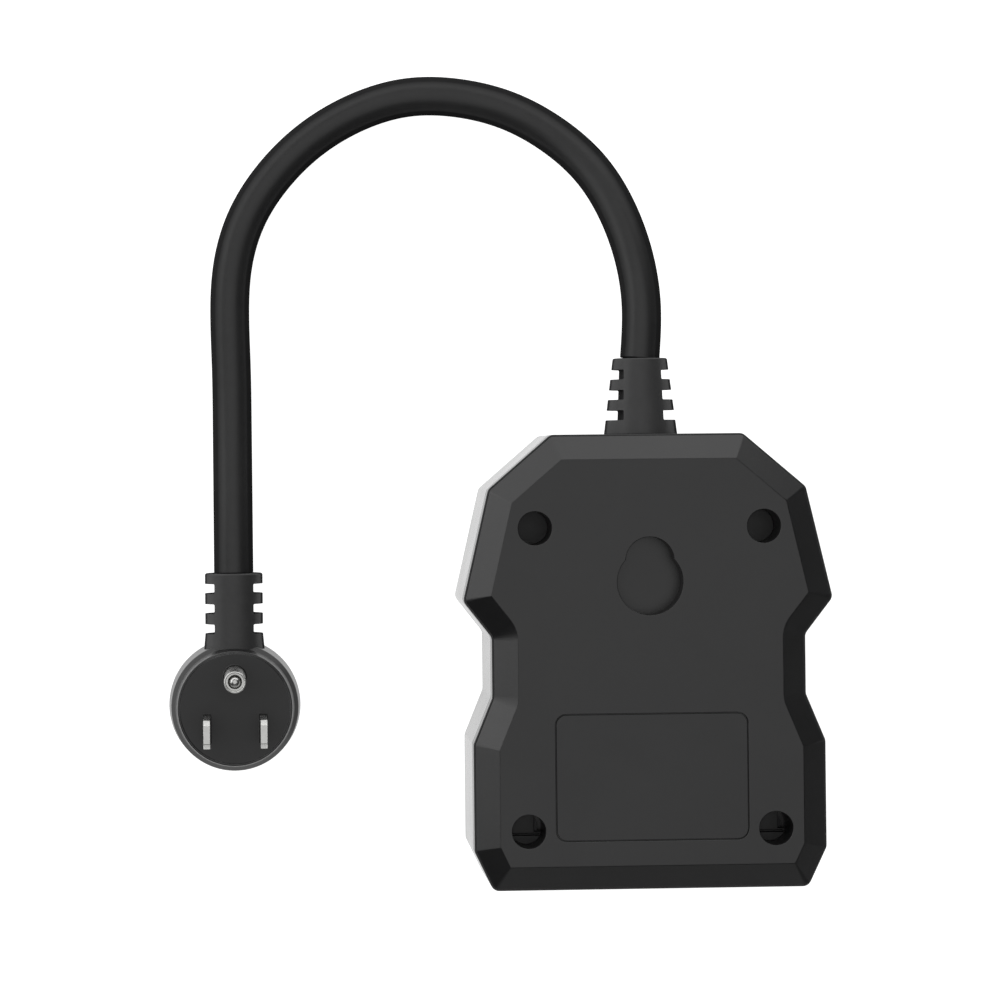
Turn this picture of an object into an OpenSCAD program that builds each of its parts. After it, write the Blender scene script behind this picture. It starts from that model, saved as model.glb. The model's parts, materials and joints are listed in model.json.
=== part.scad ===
// Outdoor smart plug: a two-outlet housing on a short heavy cord with a right-angle plug.
// It lies on its front face, with the rear cover up. +Y points to the cord, the origin is
// at the middle of the housing's base on the surface it lies on.

/* [Housing] */
// Half width of the top edge
top_half = 21.6; // [20:0.1:24]
// Half width at the shoulders
shoulder_half = 35.7; // [34:0.1:40]
// Half width at the widest corners
widest_half = 41.5; // [40:0.1:50]
// Half width at the waist
waist_half = 35.2; // [35:0.1:42]
// Half width of the lower body
lower_half = 39.5; // [39:0.1:48]
// Half width of the bottom edge
bottom_half = 35.3; // [34:0.1:44]
// Half of the housing's height
half_height = 50.8; // [50:0.1:61]
// Height of the rear face over the front face
body_depth = 37.5; // [36:0.1:45]
// Height of the seam between the front shell and the rear cover
seam_z = 29; // [28.5:0.1:30]
// Wall thickness of both shells
wall = 2.6; // [2.2:0.1:3]
// Width of the chamfer around the rear face
chamfer_w = 5.6; // [4:0.1:7]
// Depth of the chamfer around the rear face
chamfer_h = 4; // [3:0.1:4.5]
// Radius that rounds the front edge
front_round = 3; // [1:0.1:3]
// Radius of the outline's upright corners
corner_r = 2; // [1:0.1:3]

/* [Rear face] */
// Radius of the screw wells
well_r = 3.75; // [3.4:0.05:4.2]
// Depth of the screw wells down to the screw seat
well_depth = 14; // [12:0.1:15]
// Depth of the rubber caps below the rear face
cap_depth = 10.5; // [8:0.1:10.8]
// Radius of the wide end of the hanging recess
hanger_r = 7.35; // [6:0.05:8]
// Radius of the narrow end of the hanging recess
hanger_neck_r = 5.45; // [4:0.05:6]
// Distance between the two centres of the hanging recess
hanger_step = 4.6; // [4:0.1:6]
// Depth of the hanging recess
hanger_depth = 6; // [4.5:0.1:6]
// Width of the rating label
label_w = 42.6; // [36:0.1:46]
// Height of the rating label
label_h = 27.8; // [22:0.1:30]

/* [Front face] */
// Sideways distance from the middle to each outlet
outlet_x = 16.3; // [16.3:0.05:17]
// Depth of the lid pockets
pocket_depth = 6; // [5.8:0.1:6.5]
// Width of a lid pocket
pocket_w = 29; // [28.6:0.1:29.2]
// Radius of an outlet face
outlet_r = 13.5; // [13:0.1:13.6]
// Thickness of a lid's plate
lid_t = 2; // [1.6:0.1:2.4]
// Radius of a lid's hinge pin
hinge_pin_r = 1; // [0.8:0.05:1.1]
// Radius of the power button
button_r = 6.5; // [6:0.1:7]
// Travel of the power button
button_travel = 0.8; // [0.5:0.1:1]

/* [Plug] */
// Distance between the two blades
blade_pitch = 12.7; // [12.7:0.1:12.8]
// Width of a blade
blade_w = 6.35; // [6.2:0.05:6.5]
// Thickness of a blade
blade_t = 1.5; // [1.4:0.05:1.6]
// Length of a blade outside the plug
blade_l = 17.1; // [15.9:0.1:18.2]
// Distance from the ground pin to the line between the blades
ground_drop = 11.9; // [11.8:0.1:12]
// Radius of the ground pin
ground_r = 2.4; // [2.35:0.01:2.42]
// Length of the ground pin outside the plug
ground_l = 21.4; // [20:0.1:21.6]
// Radius of the plug at its back
plug_r = 15.1; // [14.6:0.1:16]
// Radius of the plug's face
plug_face_r = 13; // [12.8:0.1:13.2]
// Height of the plug's face over the surface
plug_h = 19; // [18:0.1:21]

/* [Cord] */
// Radius of the cord
cord_r = 4.5; // [4.3:0.1:4.5]
// Height of the cord where it leaves the housing
gland_z = 22; // [21.5:0.1:22]
// Length of the cord gland outside the housing
gland_l = 17.2; // [17:0.1:20]

/* [Hidden] */
fine = 64;
small = 32;
skin = 0.01;                                  // lets a cut run past the face it opens
joint_gap = 0.3;                              // room between pieces that move apart
running_gap = 0.05;                           // radial clearance of a hinge pin
edge_z = body_depth - chamfer_h;              // where the rear chamfer starts
shoulder_y = half_height - 12.1;
widest_y = 13.8;
waist_top_y = 5.7;
waist_low_y = -7.7;
lower_top_y = -18.1;
lower_end_y = 8.8 - half_height;
right_side = [
  [bottom_half, -half_height], [lower_half, lower_end_y], [lower_half, lower_top_y],
  [waist_half, waist_low_y], [waist_half, waist_top_y], [widest_half, widest_y],
  [shoulder_half, shoulder_y], [top_half, half_height]
];
left_side = [for (i = [len(right_side) - 1:-1:0]) [-right_side[i].x, right_side[i].y]];
outline = concat(right_side, left_side);
corner_steps = 4;
trim = 2 * half_height;                       // half size of a block that trims a whole face
front_levels = [
  for (a = [90:-22.5:0]) [front_round * (1 - cos(a)), front_round * (1 - sin(a))]
];
front_form = concat(
  [2 * front_levels[0] - front_levels[1]],
  [for (i = [1:len(front_levels) - 1]) front_levels[i]],
  [[0, seam_z + 1]]
);
rear_form = [
  [0, seam_z - 1], [0, edge_z], [chamfer_w * 1.25, edge_z + chamfer_h * 1.25]
];

upper_well = [widest_half - 15.9, shoulder_y - 8.7];
lower_well = [lower_half - 11.9, lower_end_y + 4.7];
wells = [upper_well, [-upper_well.x, upper_well.y], lower_well, [-lower_well.x, lower_well.y]];
well_floor_z = body_depth - well_depth;
boss_z = well_floor_z - 2;                    // where a cover boss meets its post
boss_r = well_r + 1.4;
post_r = 3.6;
screw_r = 1.4;
screw_hole_r = 1.6;
screw_head_r = 2.8;
screw_head_h = 2;
screw_l = 12;
screw_bite = screw_l - 4;                     // how far a case screw goes into its post
cap_h = 1.2;

hanger_pos = [0, 17.8];
hanger_floor = 2;
label_y = lower_top_y - 7.4;
label_t = 0.3;
label_gap = 0.25;
label_r = 2.2;

pocket_low_y = -40;
pocket_top_y = -1.2;
pocket_h = pocket_top_y - pocket_low_y;
pocket_wall = 2;
pocket_r = 3;
front_wall = 2.6;
outlet_y = -23;
outlet_face_z = pocket_depth - 1.4;
outlet_flange_r = outlet_r + 1.1;
outlet_flange_t = 1.5;
carrier_z = pocket_depth + pocket_wall + outlet_flange_t;
carrier_h = 14.5;
carrier_r = 12.9;
ground_bore_r = 2.6;
contact_gap = 1.3;
contact_t = 0.5;
contact_h = 10;
contact_z = carrier_z + 0.3;
bus_z = carrier_z + carrier_h;
bus_t = 0.8;
bus_w = 3;
blade_up = 4.9;                               // blade slots over the outlet's middle
ground_down = ground_drop - blade_up;
neutral_bus_y = outlet_y + blade_up + 2;
line_post_y = outlet_y + blade_up - 2;

hinge_y = -4.6;
hinge_z = 2.6;
lid_face_z = 0.5;
barrel_r = hinge_z - lid_face_z;
lid_w = pocket_w - 2 * joint_gap;
barrel_w = pocket_w - pocket_r - 0.2;         // clears the pocket's round corners
neck_l = barrel_r + 1.7;                      // the plate keeps this far from the hinge axis
spring_gap = 8;
spring_wire_r = 0.2;
spring_r = hinge_pin_r + 0.55;
spring_turns = 8;
pin_seat = 1.2;                               // how far a hinge pin goes into each side wall
seal_t = 1.2;
notch_r = 5;

button_pos = [0, 26];
button_face_z = 0.7;
button_flange_z = 4;
button_flange_t = 0.8;
ring_r = button_r + 2.1;
ring_bore = button_r + joint_gap;
dish_r = ring_r + 2.4;
dish_depth = 0.6;
ring_flange_r = ring_r + 1;
ring_flange_t = 1;
board_z = 11;
board_t = 1.6;
board_top = board_z + board_t;
board_w = 42;
board_low_y = 7;
board_high_y = 37;
switch_size = [6, 6, 3.3];
plunger_r = 1.2;
plunger_out = 0.8;
relay_size = [15, 19, 15.3];
relay_x = 10.9;
relay_y = 8;
transformer_size = [12, 8.5, 11];
component_y = 32.2;
transformer_x = -13;
capacitor_x = 12.5;
capacitor_r = 4.5;
capacitor_h = 14;
varistor_r = 4.5;
varistor_t = 2.6;
radio_pos = [0, 13.5];

gland_neck_r = 6;
gland_top_r = 6.15;
gland_base_r = 8.3;
gland_flange_r = 7.6;
rib_count = 3;
rib_w = 2.4;
rib_gap = 2.2;
clamp_y = 41.5;
clamp_w = 5;
clamp_half = 11;
clamp_t = 1.6;
clamp_screw_x = clamp_half - 3;
inner_cord_end_y = 37.5;
lead_r = 1.2;
lead_sides = 8;

plug_pos = [-92.5, -10.4];
plug_cord_z = 9;
plug_face_t = 0.8;
blade_line_y = plug_pos.y - 4.6;
ground_y = blade_line_y + ground_drop;
ground_root_r = ground_r - 0.4;
blade_root = 6;                               // length of a blade held inside the plug
relief_top_y = 20;
relief_w = 6.6;
relief_base_w = 7.2;

cord_sides = 12;
steps_per_span = 4;
cord_route = [
  [0, half_height + gland_l, gland_z], [1, 80, 21.5], [-0.5, 91.5, 19.5], [-4, 102.5, 16.5],
  [-9.5, 112.5, 13], [-18, 120.5, 9], [-28, 126.5, 6.5], [-39.5, 129.5, 5], [-51.5, 130, 4.5],
  [-63, 126.5, 4.5], [-73.5, 120.5, 4.5], [-82, 112.5, 4.5], [-89, 102.5, 4.5],
  [-92.5, 91, 4.5], [-93, 79, 4.5], [-92.5, 67, 4.5], [-92.5, 55, 5], [-92.5, 43.5, 6.5],
  [-92.5, 31.5, 8.5], [plug_pos.x, relief_top_y, plug_cord_z]
];

// ---- outline functions: rings of the housing's outline, moved in by a distance ----
function unit(v) = v / norm(v);
function left_of(u) = [-u.y, u.x];
function cross2(u, v) = u.x * v.y - u.y * v.x;
function turned(v, a) = [v.x * cos(a) - v.y * sin(a), v.x * sin(a) + v.y * cos(a)];
function at(points, i) = points[(i + len(points)) % len(points)];
function meet(p, u, q, v) = p + u * (cross2(q - p, v) / cross2(u, v));
function moved_in(points, d) = [
  for (i = [0:len(points) - 1])
    let (
      u = unit(at(points, i) - at(points, i - 1)),
      v = unit(at(points, i + 1) - at(points, i))
    )
    meet(at(points, i) + left_of(u) * d, u, at(points, i) + left_of(v) * d, v)
];
function rounded_corner(a, b, c, d) =
  let (
    u = unit(b - a),
    v = unit(c - b),
    turn = asin(cross2(u, v)),
    side = sign(turn),
    r = side > 0 ? max(corner_r - d, 0.3) : corner_r + d,
    start = b - u * (r * tan(abs(turn) / 2)),
    middle = start + left_of(u) * side * r
  )
  [for (k = [0:corner_steps]) middle + turned(start - middle, turn * k / corner_steps)];
function ring(d) =
  let (p = moved_in(outline, d))
  [for (i = [0:len(p) - 1]) each rounded_corner(at(p, i - 1), p[i], at(p, i + 1), d)];

// ---- cord functions: a smooth curve through the route, and the rings along it ----
function phantom_ends(p) =
  concat([2 * p[0] - p[1]], p, [2 * p[len(p) - 1] - p[len(p) - 2]]);
function blend(a, b, c, d, t) =
  (a * pow(1 - t, 3) + b * (3 * pow(t, 3) - 6 * t * t + 4)
   + c * (3 * t - 3 * pow(t, 3) + 3 * t * t + 1) + d * pow(t, 3)) / 6;
function smooth(points, steps) =
  let (p = phantom_ends(points), spans = len(points) - 1)
  [
    for (i = [0:spans * steps])
      let (k = min(floor(i / steps), spans - 1))
      blend(p[k], p[k + 1], p[k + 2], p[k + 3], i / steps - k)
  ];
function heading(p, i) = unit(p[min(i + 1, len(p) - 1)] - p[max(i - 1, 0)]);
function sideways(t, up) = unit(cross(t, up));

// A tube along the points; up must never lie along them.
module tube(points, r, sides, up = [0, 0, 1]) {
  n = len(points);
  verts = [
    for (i = [0:n - 1])
      let (t = heading(points, i), s = sideways(t, up), o = cross(s, t))
      for (k = [0:sides - 1])
        let (a = 360 * k / sides)
        points[i] + s * (r * cos(a)) + o * (r * sin(a))
  ];
  walls = [
    for (i = [0:n - 2], k = [0:sides - 1])
      let (m = (k + 1) % sides)
      [i * sides + k, (i + 1) * sides + k, (i + 1) * sides + m, i * sides + m]
  ];
  first = [for (k = [0:sides - 1]) k];
  last = [for (k = [sides - 1:-1:0]) (n - 1) * sides + k];
  polyhedron(verts, concat(walls, [first, last]), 4);
}

// A closed solid through rings of equal length, each [inset, height].
module lofted(levels) {
  n = len(ring(0));
  verts = [for (l = levels) for (p = ring(l[0])) [p.x, p.y, l[1]]];
  walls = [
    for (i = [0:len(levels) - 2], k = [0:n - 1])
      let (m = (k + 1) % n)
      [i * n + k, (i + 1) * n + k, (i + 1) * n + m, i * n + m]
  ];
  low = [for (k = [0:n - 1]) k];
  high = [for (k = [n - 1:-1:0]) (len(levels) - 1) * n + k];
  polyhedron(verts, concat(walls, [low, high]), 4);
}

module slab(inset_by, low, high) {
  translate([0, 0, low])
    linear_extrude(high - low)
      polygon(ring(inset_by));
}

module rod(r, low, high) {
  translate([0, 0, low])
    cylinder(r = r, h = high - low, $fn = fine);
}

module block(low, high) {
  translate(low)
    cube(high - low);
}

module rounded_plate(w, h, r, low, high) {
  translate([0, 0, low])
    linear_extrude(high - low)
      union() {
        square([w - 2 * r, h], center = true);
        square([w, h - 2 * r], center = true);
        for (x = [-1, 1], y = [-1, 1])
          translate([x * (w / 2 - r), y * (h / 2 - r)])
            circle(r = r, $fn = small);
      }
}

// A lofted form that runs a little past both heights, cut flat there.
module trimmed_form(levels, low, high) {
  difference() {
    lofted(levels);
    block([-trim, -trim, low - 10], [trim, trim, low]);
    block([-trim, -trim, high], [trim, trim, high + 10]);
  }
}

module at_wells() {
  for (p = wells)
    translate(p)
      children();
}

// ---- housing ----
module gland_slot(r, low, high) {
  translate([0, half_height - wall - skin, gland_z])
    rotate([-90, 0, 0])
      cylinder(r = r, h = wall + 2 * skin, $fn = fine);
  block([-r, half_height - wall - skin, low], [r, half_height + skin, high]);
}

module pocket_shape(grow, low, high) {
  for (side = [-1, 1])
    translate([side * outlet_x, (pocket_low_y + pocket_top_y) / 2])
      rounded_plate(pocket_w + 2 * grow, pocket_h + 2 * grow, pocket_r + grow, low, high);
}

module front_shell() {
  pin_span = outlet_x + pocket_w / 2 + pin_seat;
  color([0.12, 0.12, 0.125])
    difference() {
      trimmed_form(front_form, 0, seam_z);
      difference() {
        slab(wall, front_wall, seam_z + skin);
        pocket_shape(pocket_wall, 0, pocket_depth + pocket_wall);
        at_wells()
          rod(post_r, 0, boss_z);
        block([-clamp_half, clamp_y - clamp_w / 2, 0], [clamp_half, clamp_y + clamp_w / 2, gland_z]);
      }
      pocket_shape(0, -skin, pocket_depth);
      for (side = [-1, 1])
        translate([side * outlet_x, outlet_y])
          rod(outlet_r, 0, pocket_depth + pocket_wall + skin);
      for (side = [-1, 1])
        translate([side * outlet_x, pocket_low_y - 1])
          rod(notch_r, -skin, lid_face_z + lid_t);
      translate([-pin_span, hinge_y, hinge_z])
        rotate([0, 90, 0])
          cylinder(r = hinge_pin_r, h = 2 * pin_span, $fn = fine);
      at_wells()
        rod(screw_r, boss_z - screw_bite, boss_z + skin);
      translate(button_pos) {
        rod(ring_r, -skin, front_wall + skin);
        translate([0, 0, -skin])
          cylinder(r1 = dish_r, r2 = ring_r, h = dish_depth, $fn = fine);
      }
      gland_slot(gland_neck_r, gland_z, seam_z + skin);
      translate([0, clamp_y - clamp_w / 2 - skin, gland_z])
        rotate([-90, 0, 0])
          cylinder(r = cord_r, h = clamp_w + 2 * skin, $fn = fine);
      for (x = [-1, 1])
        translate([x * clamp_screw_x, clamp_y])
          rod(screw_r, gland_z - 6, gland_z + skin);
      gasket_shape();
    }
}

module gasket_shape() {
  difference() {
    slab(0.8, seam_z - 1.2, seam_z + skin);
    slab(1.8, seam_z - 1.2 - skin, seam_z + 2 * skin);
    block([-gland_neck_r - 1, half_height - wall - 1, 0], [gland_neck_r + 1, half_height, body_depth]);
  }
}

module housing_gasket() {
  color([0.25, 0.25, 0.26])
    intersection() {
      gasket_shape();
      slab(0, 0, seam_z);
    }
}

module hanger_shape(grow, low, high) {
  translate(hanger_pos) {
    rod(hanger_r + grow, low, high);
    translate([0, hanger_step])
      rod(hanger_neck_r + grow, low, high);
  }
}

module rear_cover() {
  ceiling = body_depth - wall;
  color([0.2, 0.2, 0.205])
    difference() {
      union() {
        difference() {
          trimmed_form(rear_form, seam_z, body_depth);
          slab(wall, seam_z - skin, edge_z - 0.5);
          slab(chamfer_w, seam_z - skin, ceiling);
        }
        at_wells()
          rod(boss_r, boss_z, ceiling + skin);
        hanger_shape(wall, body_depth - hanger_depth - hanger_floor, ceiling + skin);
        difference() {
          block([-gland_neck_r, half_height - wall, gland_z], [gland_neck_r, half_height, seam_z + skin]);
          translate([0, 0, -skin])
            gland_slot(gland_neck_r, gland_z, gland_z + skin);
        }
      }
      at_wells() {
        rod(well_r, well_floor_z, body_depth + skin);
        rod(screw_hole_r, boss_z - skin, well_floor_z + skin);
      }
      hanger_shape(0, body_depth - hanger_depth, body_depth + skin);
      translate([0, label_y])
        rounded_plate(label_w + 2 * label_gap, label_h + 2 * label_gap, label_r + label_gap,
                      body_depth - label_t, body_depth + skin);
    }
}

module rating_label() {
  color([0.19, 0.19, 0.195])
    translate([0, label_y])
      rounded_plate(label_w, label_h, label_r, body_depth - label_t, body_depth);
}

module case_screws() {
  color([0.35, 0.35, 0.36])
    at_wells()
      difference() {
        union() {
          rod(screw_head_r, well_floor_z, well_floor_z + screw_head_h);
          rod(screw_r, boss_z - screw_bite, well_floor_z + skin);
        }
        for (turn = [0, 90])
          rotate(turn)
            translate([0, 0, well_floor_z + screw_head_h - 0.6])
              block([-1.7, -0.4, 0], [1.7, 0.4, 1]);
      }
}

// The upper caps are plain discs. A lower cap has a cross slit with a raised lip below it,
// and one corner cut open.
module screw_caps() {
  cap_z = body_depth - cap_depth;
  slit_y = -1.85;
  slit_w = 0.45;
  slit_half = 3;
  slit_depth = 0.8;
  lip_h = 1;
  corner_x = 1.9;
  corner_gap = 0.8;
  color([0.13, 0.13, 0.135])
    for (p = wells)
      translate(p)
        if (p.y > 0)
          rod(well_r, cap_z - cap_h, cap_z);
        else
          difference() {
            union() {
              rod(well_r, cap_z - cap_h, cap_z);
              intersection() {
                rod(well_r, cap_z - cap_h, cap_z + lip_h);
                block([-well_r, -well_r, cap_z - cap_h], [well_r, slit_y, cap_z + lip_h]);
              }
            }
            block([-slit_half, slit_y, cap_z - slit_depth], [slit_half, slit_y + slit_w, cap_z + 2 * lip_h]);
            block([corner_x, slit_y + corner_gap, cap_z - 2 * cap_h], [well_r + 1, well_r + 1, cap_z + skin]);
          }
}

// ---- outlets ----
module slot_cuts(low, high) {
  half_w = 0.95;
  for (side = [-1, 1]) {
    half_h = 3.5 + 0.4 * side;
    translate([side * blade_pitch / 2, blade_up])
      block([-half_w, -half_h, low], [half_w, half_h, high]);
  }
  translate([0, -ground_down])
    rod(ground_bore_r, low, high);
}

module outlet_face(side) {
  color([0.1, 0.1, 0.105])
    translate([side * outlet_x, outlet_y])
      difference() {
        union() {
          rod(outlet_r, outlet_face_z, pocket_depth + pocket_wall + skin);
          rod(outlet_flange_r, pocket_depth + pocket_wall, carrier_z);
        }
        slot_cuts(outlet_face_z - skin, carrier_z + skin);
      }
}

module contact_carrier(side) {
  cavity_w = contact_gap + 2 * contact_t + 0.8;
  cavity_half_h = 4;
  color([0.75, 0.73, 0.68])
    translate([side * outlet_x, outlet_y])
      difference() {
        rod(carrier_r, carrier_z, bus_z);
        for (x = [-1, 1])
          translate([x * blade_pitch / 2, blade_up])
            block([-cavity_w / 2, -cavity_half_h, carrier_z - skin],
                  [cavity_w / 2, cavity_half_h, bus_z + skin]);
        translate([0, -ground_down])
          rod(ground_r + 1.2, carrier_z - skin, bus_z + skin);
      }
}

// A two-leaf clip for one blade, with a post up to the bus over it.
module blade_clip(x, post_y) {
  leaf_half = 3;
  post = [1, 2];
  top = contact_z + contact_h;
  translate([x, outlet_y + blade_up]) {
    for (leaf = [-1, 1])
      translate([leaf * (contact_gap + contact_t) / 2, 0])
        block([-contact_t / 2, -leaf_half, contact_z], [contact_t / 2, leaf_half, top]);
    block([-contact_gap / 2 - contact_t, -leaf_half, top],
          [contact_gap / 2 + contact_t, leaf_half, top + contact_t]);
  }
  block([x - post.x / 2, post_y - post.y / 2, top], [x + post.x / 2, post_y + post.y / 2, bus_z + bus_t]);
}

module line_contact(side) {
  x = side * outlet_x - blade_pitch / 2;
  pad = 1.5;
  color([0.8, 0.62, 0.3]) {
    blade_clip(x, line_post_y);
    block([x - pad, line_post_y - pad, bus_z], [x + pad, line_post_y + pad, bus_z + bus_t]);
  }
}

module neutral_bus() {
  reach = outlet_x + 1.5;
  color([0.8, 0.62, 0.3]) {
    for (side = [-1, 1])
      blade_clip(side * outlet_x + blade_pitch / 2, neutral_bus_y);
    block([blade_pitch / 2 - reach, neutral_bus_y - bus_w / 2, bus_z],
          [blade_pitch / 2 + reach, neutral_bus_y + bus_w / 2, bus_z + bus_t]);
  }
}

module ground_bus() {
  bus_y = outlet_y - ground_down;
  reach = outlet_x + 2.5;
  color([0.8, 0.62, 0.3])
    difference() {
      union() {
        for (side = [-1, 1])
          translate([side * outlet_x, bus_y])
            rod(ground_r + 0.7, contact_z, bus_z + skin);
        block([-reach, bus_y - bus_w / 2, bus_z], [reach, bus_y + bus_w / 2, bus_z + bus_t]);
      }
      for (side = [-1, 1])
        translate([side * outlet_x, bus_y])
          rod(ground_r + 0.1, contact_z - skin, bus_z - 1);
    }
}

// ---- lids ----
module lid(side) {
  color([0.14, 0.14, 0.145])
    translate([side * outlet_x, 0])
      difference() {
        union() {
          intersection() {
            translate([0, (pocket_low_y + pocket_top_y) / 2])
              rounded_plate(lid_w, pocket_h - 2 * joint_gap, pocket_r - joint_gap,
                            lid_face_z, lid_face_z + lid_t);
            block([-lid_w, pocket_low_y, 0], [lid_w, hinge_y - neck_l, pocket_depth]);
          }
          block([-barrel_w / 2, hinge_y - neck_l - skin, lid_face_z],
                [barrel_w / 2, hinge_y, lid_face_z + lid_t]);
          translate([-barrel_w / 2, hinge_y, hinge_z])
            rotate([0, 90, 0])
              cylinder(r = barrel_r, h = barrel_w, $fn = fine);
        }
        translate([-lid_w, hinge_y, hinge_z])
          rotate([0, 90, 0])
            cylinder(r = hinge_pin_r + running_gap, h = 2 * lid_w, $fn = fine);
        block([-spring_gap / 2, hinge_y - barrel_r - joint_gap, lid_face_z - skin],
              [spring_gap / 2, hinge_y + barrel_r + skin, pocket_depth]);
      }
}

module lid_seal(side) {
  color([0.3, 0.3, 0.31])
    translate([side * outlet_x, outlet_y])
      difference() {
        rod(outlet_r - 0.5, lid_face_z + lid_t, lid_face_z + lid_t + seal_t);
        rod(outlet_r - 2, lid_face_z + lid_t - skin, lid_face_z + lid_t + seal_t + skin);
      }
}

module lid_spring(side) {
  steps = 12;
  rise = (spring_gap - 1.2) / (spring_turns * steps);
  coil = [
    for (i = [0:spring_turns * steps])
      let (a = 90 + 360 * i / steps)
      [rise * i - (spring_gap - 1.2) / 2, hinge_y + spring_r * cos(a), hinge_z + spring_r * sin(a)]
  ];
  color([0.7, 0.7, 0.72])
    translate([side * outlet_x, 0, 0])
      tube(coil, spring_wire_r, 6, [1, 0, 0]);
}

module lid_pin(side) {
  color([0.7, 0.7, 0.72])
    translate([side * outlet_x - pocket_w / 2 - pin_seat, hinge_y, hinge_z])
      rotate([0, 90, 0])
        cylinder(r = hinge_pin_r, h = pocket_w + 2 * pin_seat, $fn = fine);
}

// ---- button ----
module light_ring() {
  color([0.8, 0.85, 0.9])
    translate(button_pos)
      difference() {
        union() {
          rod(ring_r, dish_depth, front_wall + skin);
          rod(ring_flange_r, front_wall, front_wall + ring_flange_t);
        }
        rod(ring_bore, 0, front_wall + ring_flange_t + skin);
      }
}

module power_button() {
  stem_end = board_z - switch_size.z - plunger_out;
  color([0.16, 0.16, 0.165])
    translate(button_pos) {
      rod(button_r, button_face_z, button_flange_z + skin);
      rod(button_r + 1, button_flange_z, button_flange_z + button_flange_t);
      rod(plunger_r + 0.6, button_flange_z + button_flange_t - skin, stem_end);
    }
}

module switch_plunger() {
  switch_z = board_z - switch_size.z;
  color([0.5, 0.2, 0.15])
    translate(button_pos)
      rod(plunger_r, switch_z - plunger_out, switch_z + 1);
}

module tact_switch() {
  switch_z = board_z - switch_size.z;
  color([0.2, 0.2, 0.2])
    translate(button_pos)
      difference() {
        block([-switch_size.x / 2, -switch_size.y / 2, switch_z],
              [switch_size.x / 2, switch_size.y / 2, board_z]);
        rod(plunger_r + 0.2, switch_z - skin, switch_z + 1 + button_travel + joint_gap);
      }
}

// ---- electronics ----
module control_board() {
  color([0.1, 0.3, 0.15])
    difference() {
      block([-board_w / 2, board_low_y, board_z], [board_w / 2, board_high_y, board_top]);
      for (x = [-1, 1])
        translate([x * (board_w / 2 - 2.5), board_high_y - 2.5])
          rod(1.2, board_z - skin, board_top + skin);
    }
}

module relay(side) {
  color([0.15, 0.3, 0.6])
    translate([side * relay_x - relay_size.x / 2, relay_y, board_top])
      cube(relay_size);
}

module power_transformer() {
  color([0.85, 0.75, 0.3])
    translate([transformer_x, component_y, board_top])
      difference() {
        block([-transformer_size.x / 2, -transformer_size.y / 2, 0],
              [transformer_size.x / 2, transformer_size.y / 2, transformer_size.z]);
        for (x = [-1, 1])
          block([x * transformer_size.x / 2 - 1.5, -5, 2], [x * transformer_size.x / 2 + 1.5, 5, 9]);
      }
}

module filter_capacitor() {
  color([0.1, 0.1, 0.12])
    translate([capacitor_x, component_y])
      rod(capacitor_r, board_top, board_top + capacitor_h);
}

module surge_varistor() {
  color([0.1, 0.25, 0.6])
    translate([0, component_y + varistor_t / 2, board_top + varistor_r + 0.1])
      rotate([90, 0, 0])
        cylinder(r = varistor_r, h = varistor_t, $fn = fine);
}

module radio_module() {
  color([0.75, 0.75, 0.76])
    translate([radio_pos.x, radio_pos.y, board_z]) {
      block([-8, -5.5, -0.8], [8, 5.5, 0]);
      block([-6.5, -4.5, -3.2], [4, 4.5, -0.8 + skin]);
    }
}

module status_leds() {
  color([0.9, 0.95, 1])
    for (side = [-1, 1])
      translate([side * (ring_r - 0.9), button_pos.y])
        block([-0.8, -1.6, board_z - 1], [0.8, 1.6, board_z]);
}

// ---- cord entry ----
module cord_gland() {
  reach = gland_l - rib_count * (rib_w + rib_gap);
  color([0.13, 0.13, 0.135])
    translate([0, half_height, gland_z])
      rotate([-90, 0, 0])
        difference() {
          union() {
            cylinder(r1 = gland_base_r, r2 = gland_top_r, h = gland_l, $fn = fine);
            translate([0, 0, -wall])
              cylinder(r = gland_neck_r, h = wall + skin, $fn = fine);
            translate([0, 0, -wall - 1.5])
              cylinder(r = gland_flange_r, h = 1.5, $fn = fine);
          }
          for (i = [0:rib_count - 1], side = [-1, 1])
            translate([0, 0, reach + i * (rib_w + rib_gap) - 0.2])
              block([side > 0 ? cord_r : -gland_base_r - 1, -gland_base_r - 1, 0],
                    [side > 0 ? gland_base_r + 1 : -cord_r, gland_base_r + 1, rib_gap]);
        }
}

module inner_cord() {
  color([0.12, 0.12, 0.12])
    translate([0, inner_cord_end_y, gland_z])
      rotate([-90, 0, 0])
        cylinder(r = cord_r, h = half_height - wall - 1.5 - inner_cord_end_y, $fn = fine);
}

module cord_clamp() {
  collar = 1.4;
  color([0.6, 0.6, 0.62])
    difference() {
      union() {
        block([-clamp_half, clamp_y - clamp_w / 2, gland_z],
              [clamp_half, clamp_y + clamp_w / 2, gland_z + clamp_t]);
        translate([0, clamp_y - clamp_w / 2, gland_z])
          rotate([-90, 0, 0])
            cylinder(r = cord_r + collar, h = clamp_w, $fn = fine);
      }
      block([-clamp_half, clamp_y - clamp_w, gland_z - 2 * cord_r], [clamp_half, clamp_y + clamp_w, gland_z]);
      translate([0, clamp_y - clamp_w, gland_z])
        rotate([-90, 0, 0])
          cylinder(r = cord_r, h = 2 * clamp_w, $fn = fine);
      for (x = [-1, 1])
        translate([x * clamp_screw_x, clamp_y])
          rod(screw_hole_r, gland_z - skin, gland_z + clamp_t + skin);
    }
}

module clamp_screws() {
  head_r = 2.4;
  head_h = 1.4;
  bite = 6;
  color([0.6, 0.6, 0.62])
    for (x = [-1, 1])
      translate([x * clamp_screw_x, clamp_y]) {
        rod(screw_r, gland_z - bite, gland_z + clamp_t + skin);
        rod(head_r, gland_z + clamp_t, gland_z + clamp_t + head_h);
      }
}

// A lead leaves a flat face square on, so its first points lie in line.
module lead(points, up = [1, 0, 0]) {
  tube(smooth(points, steps_per_span), lead_r, lead_sides, up);
}

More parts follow.
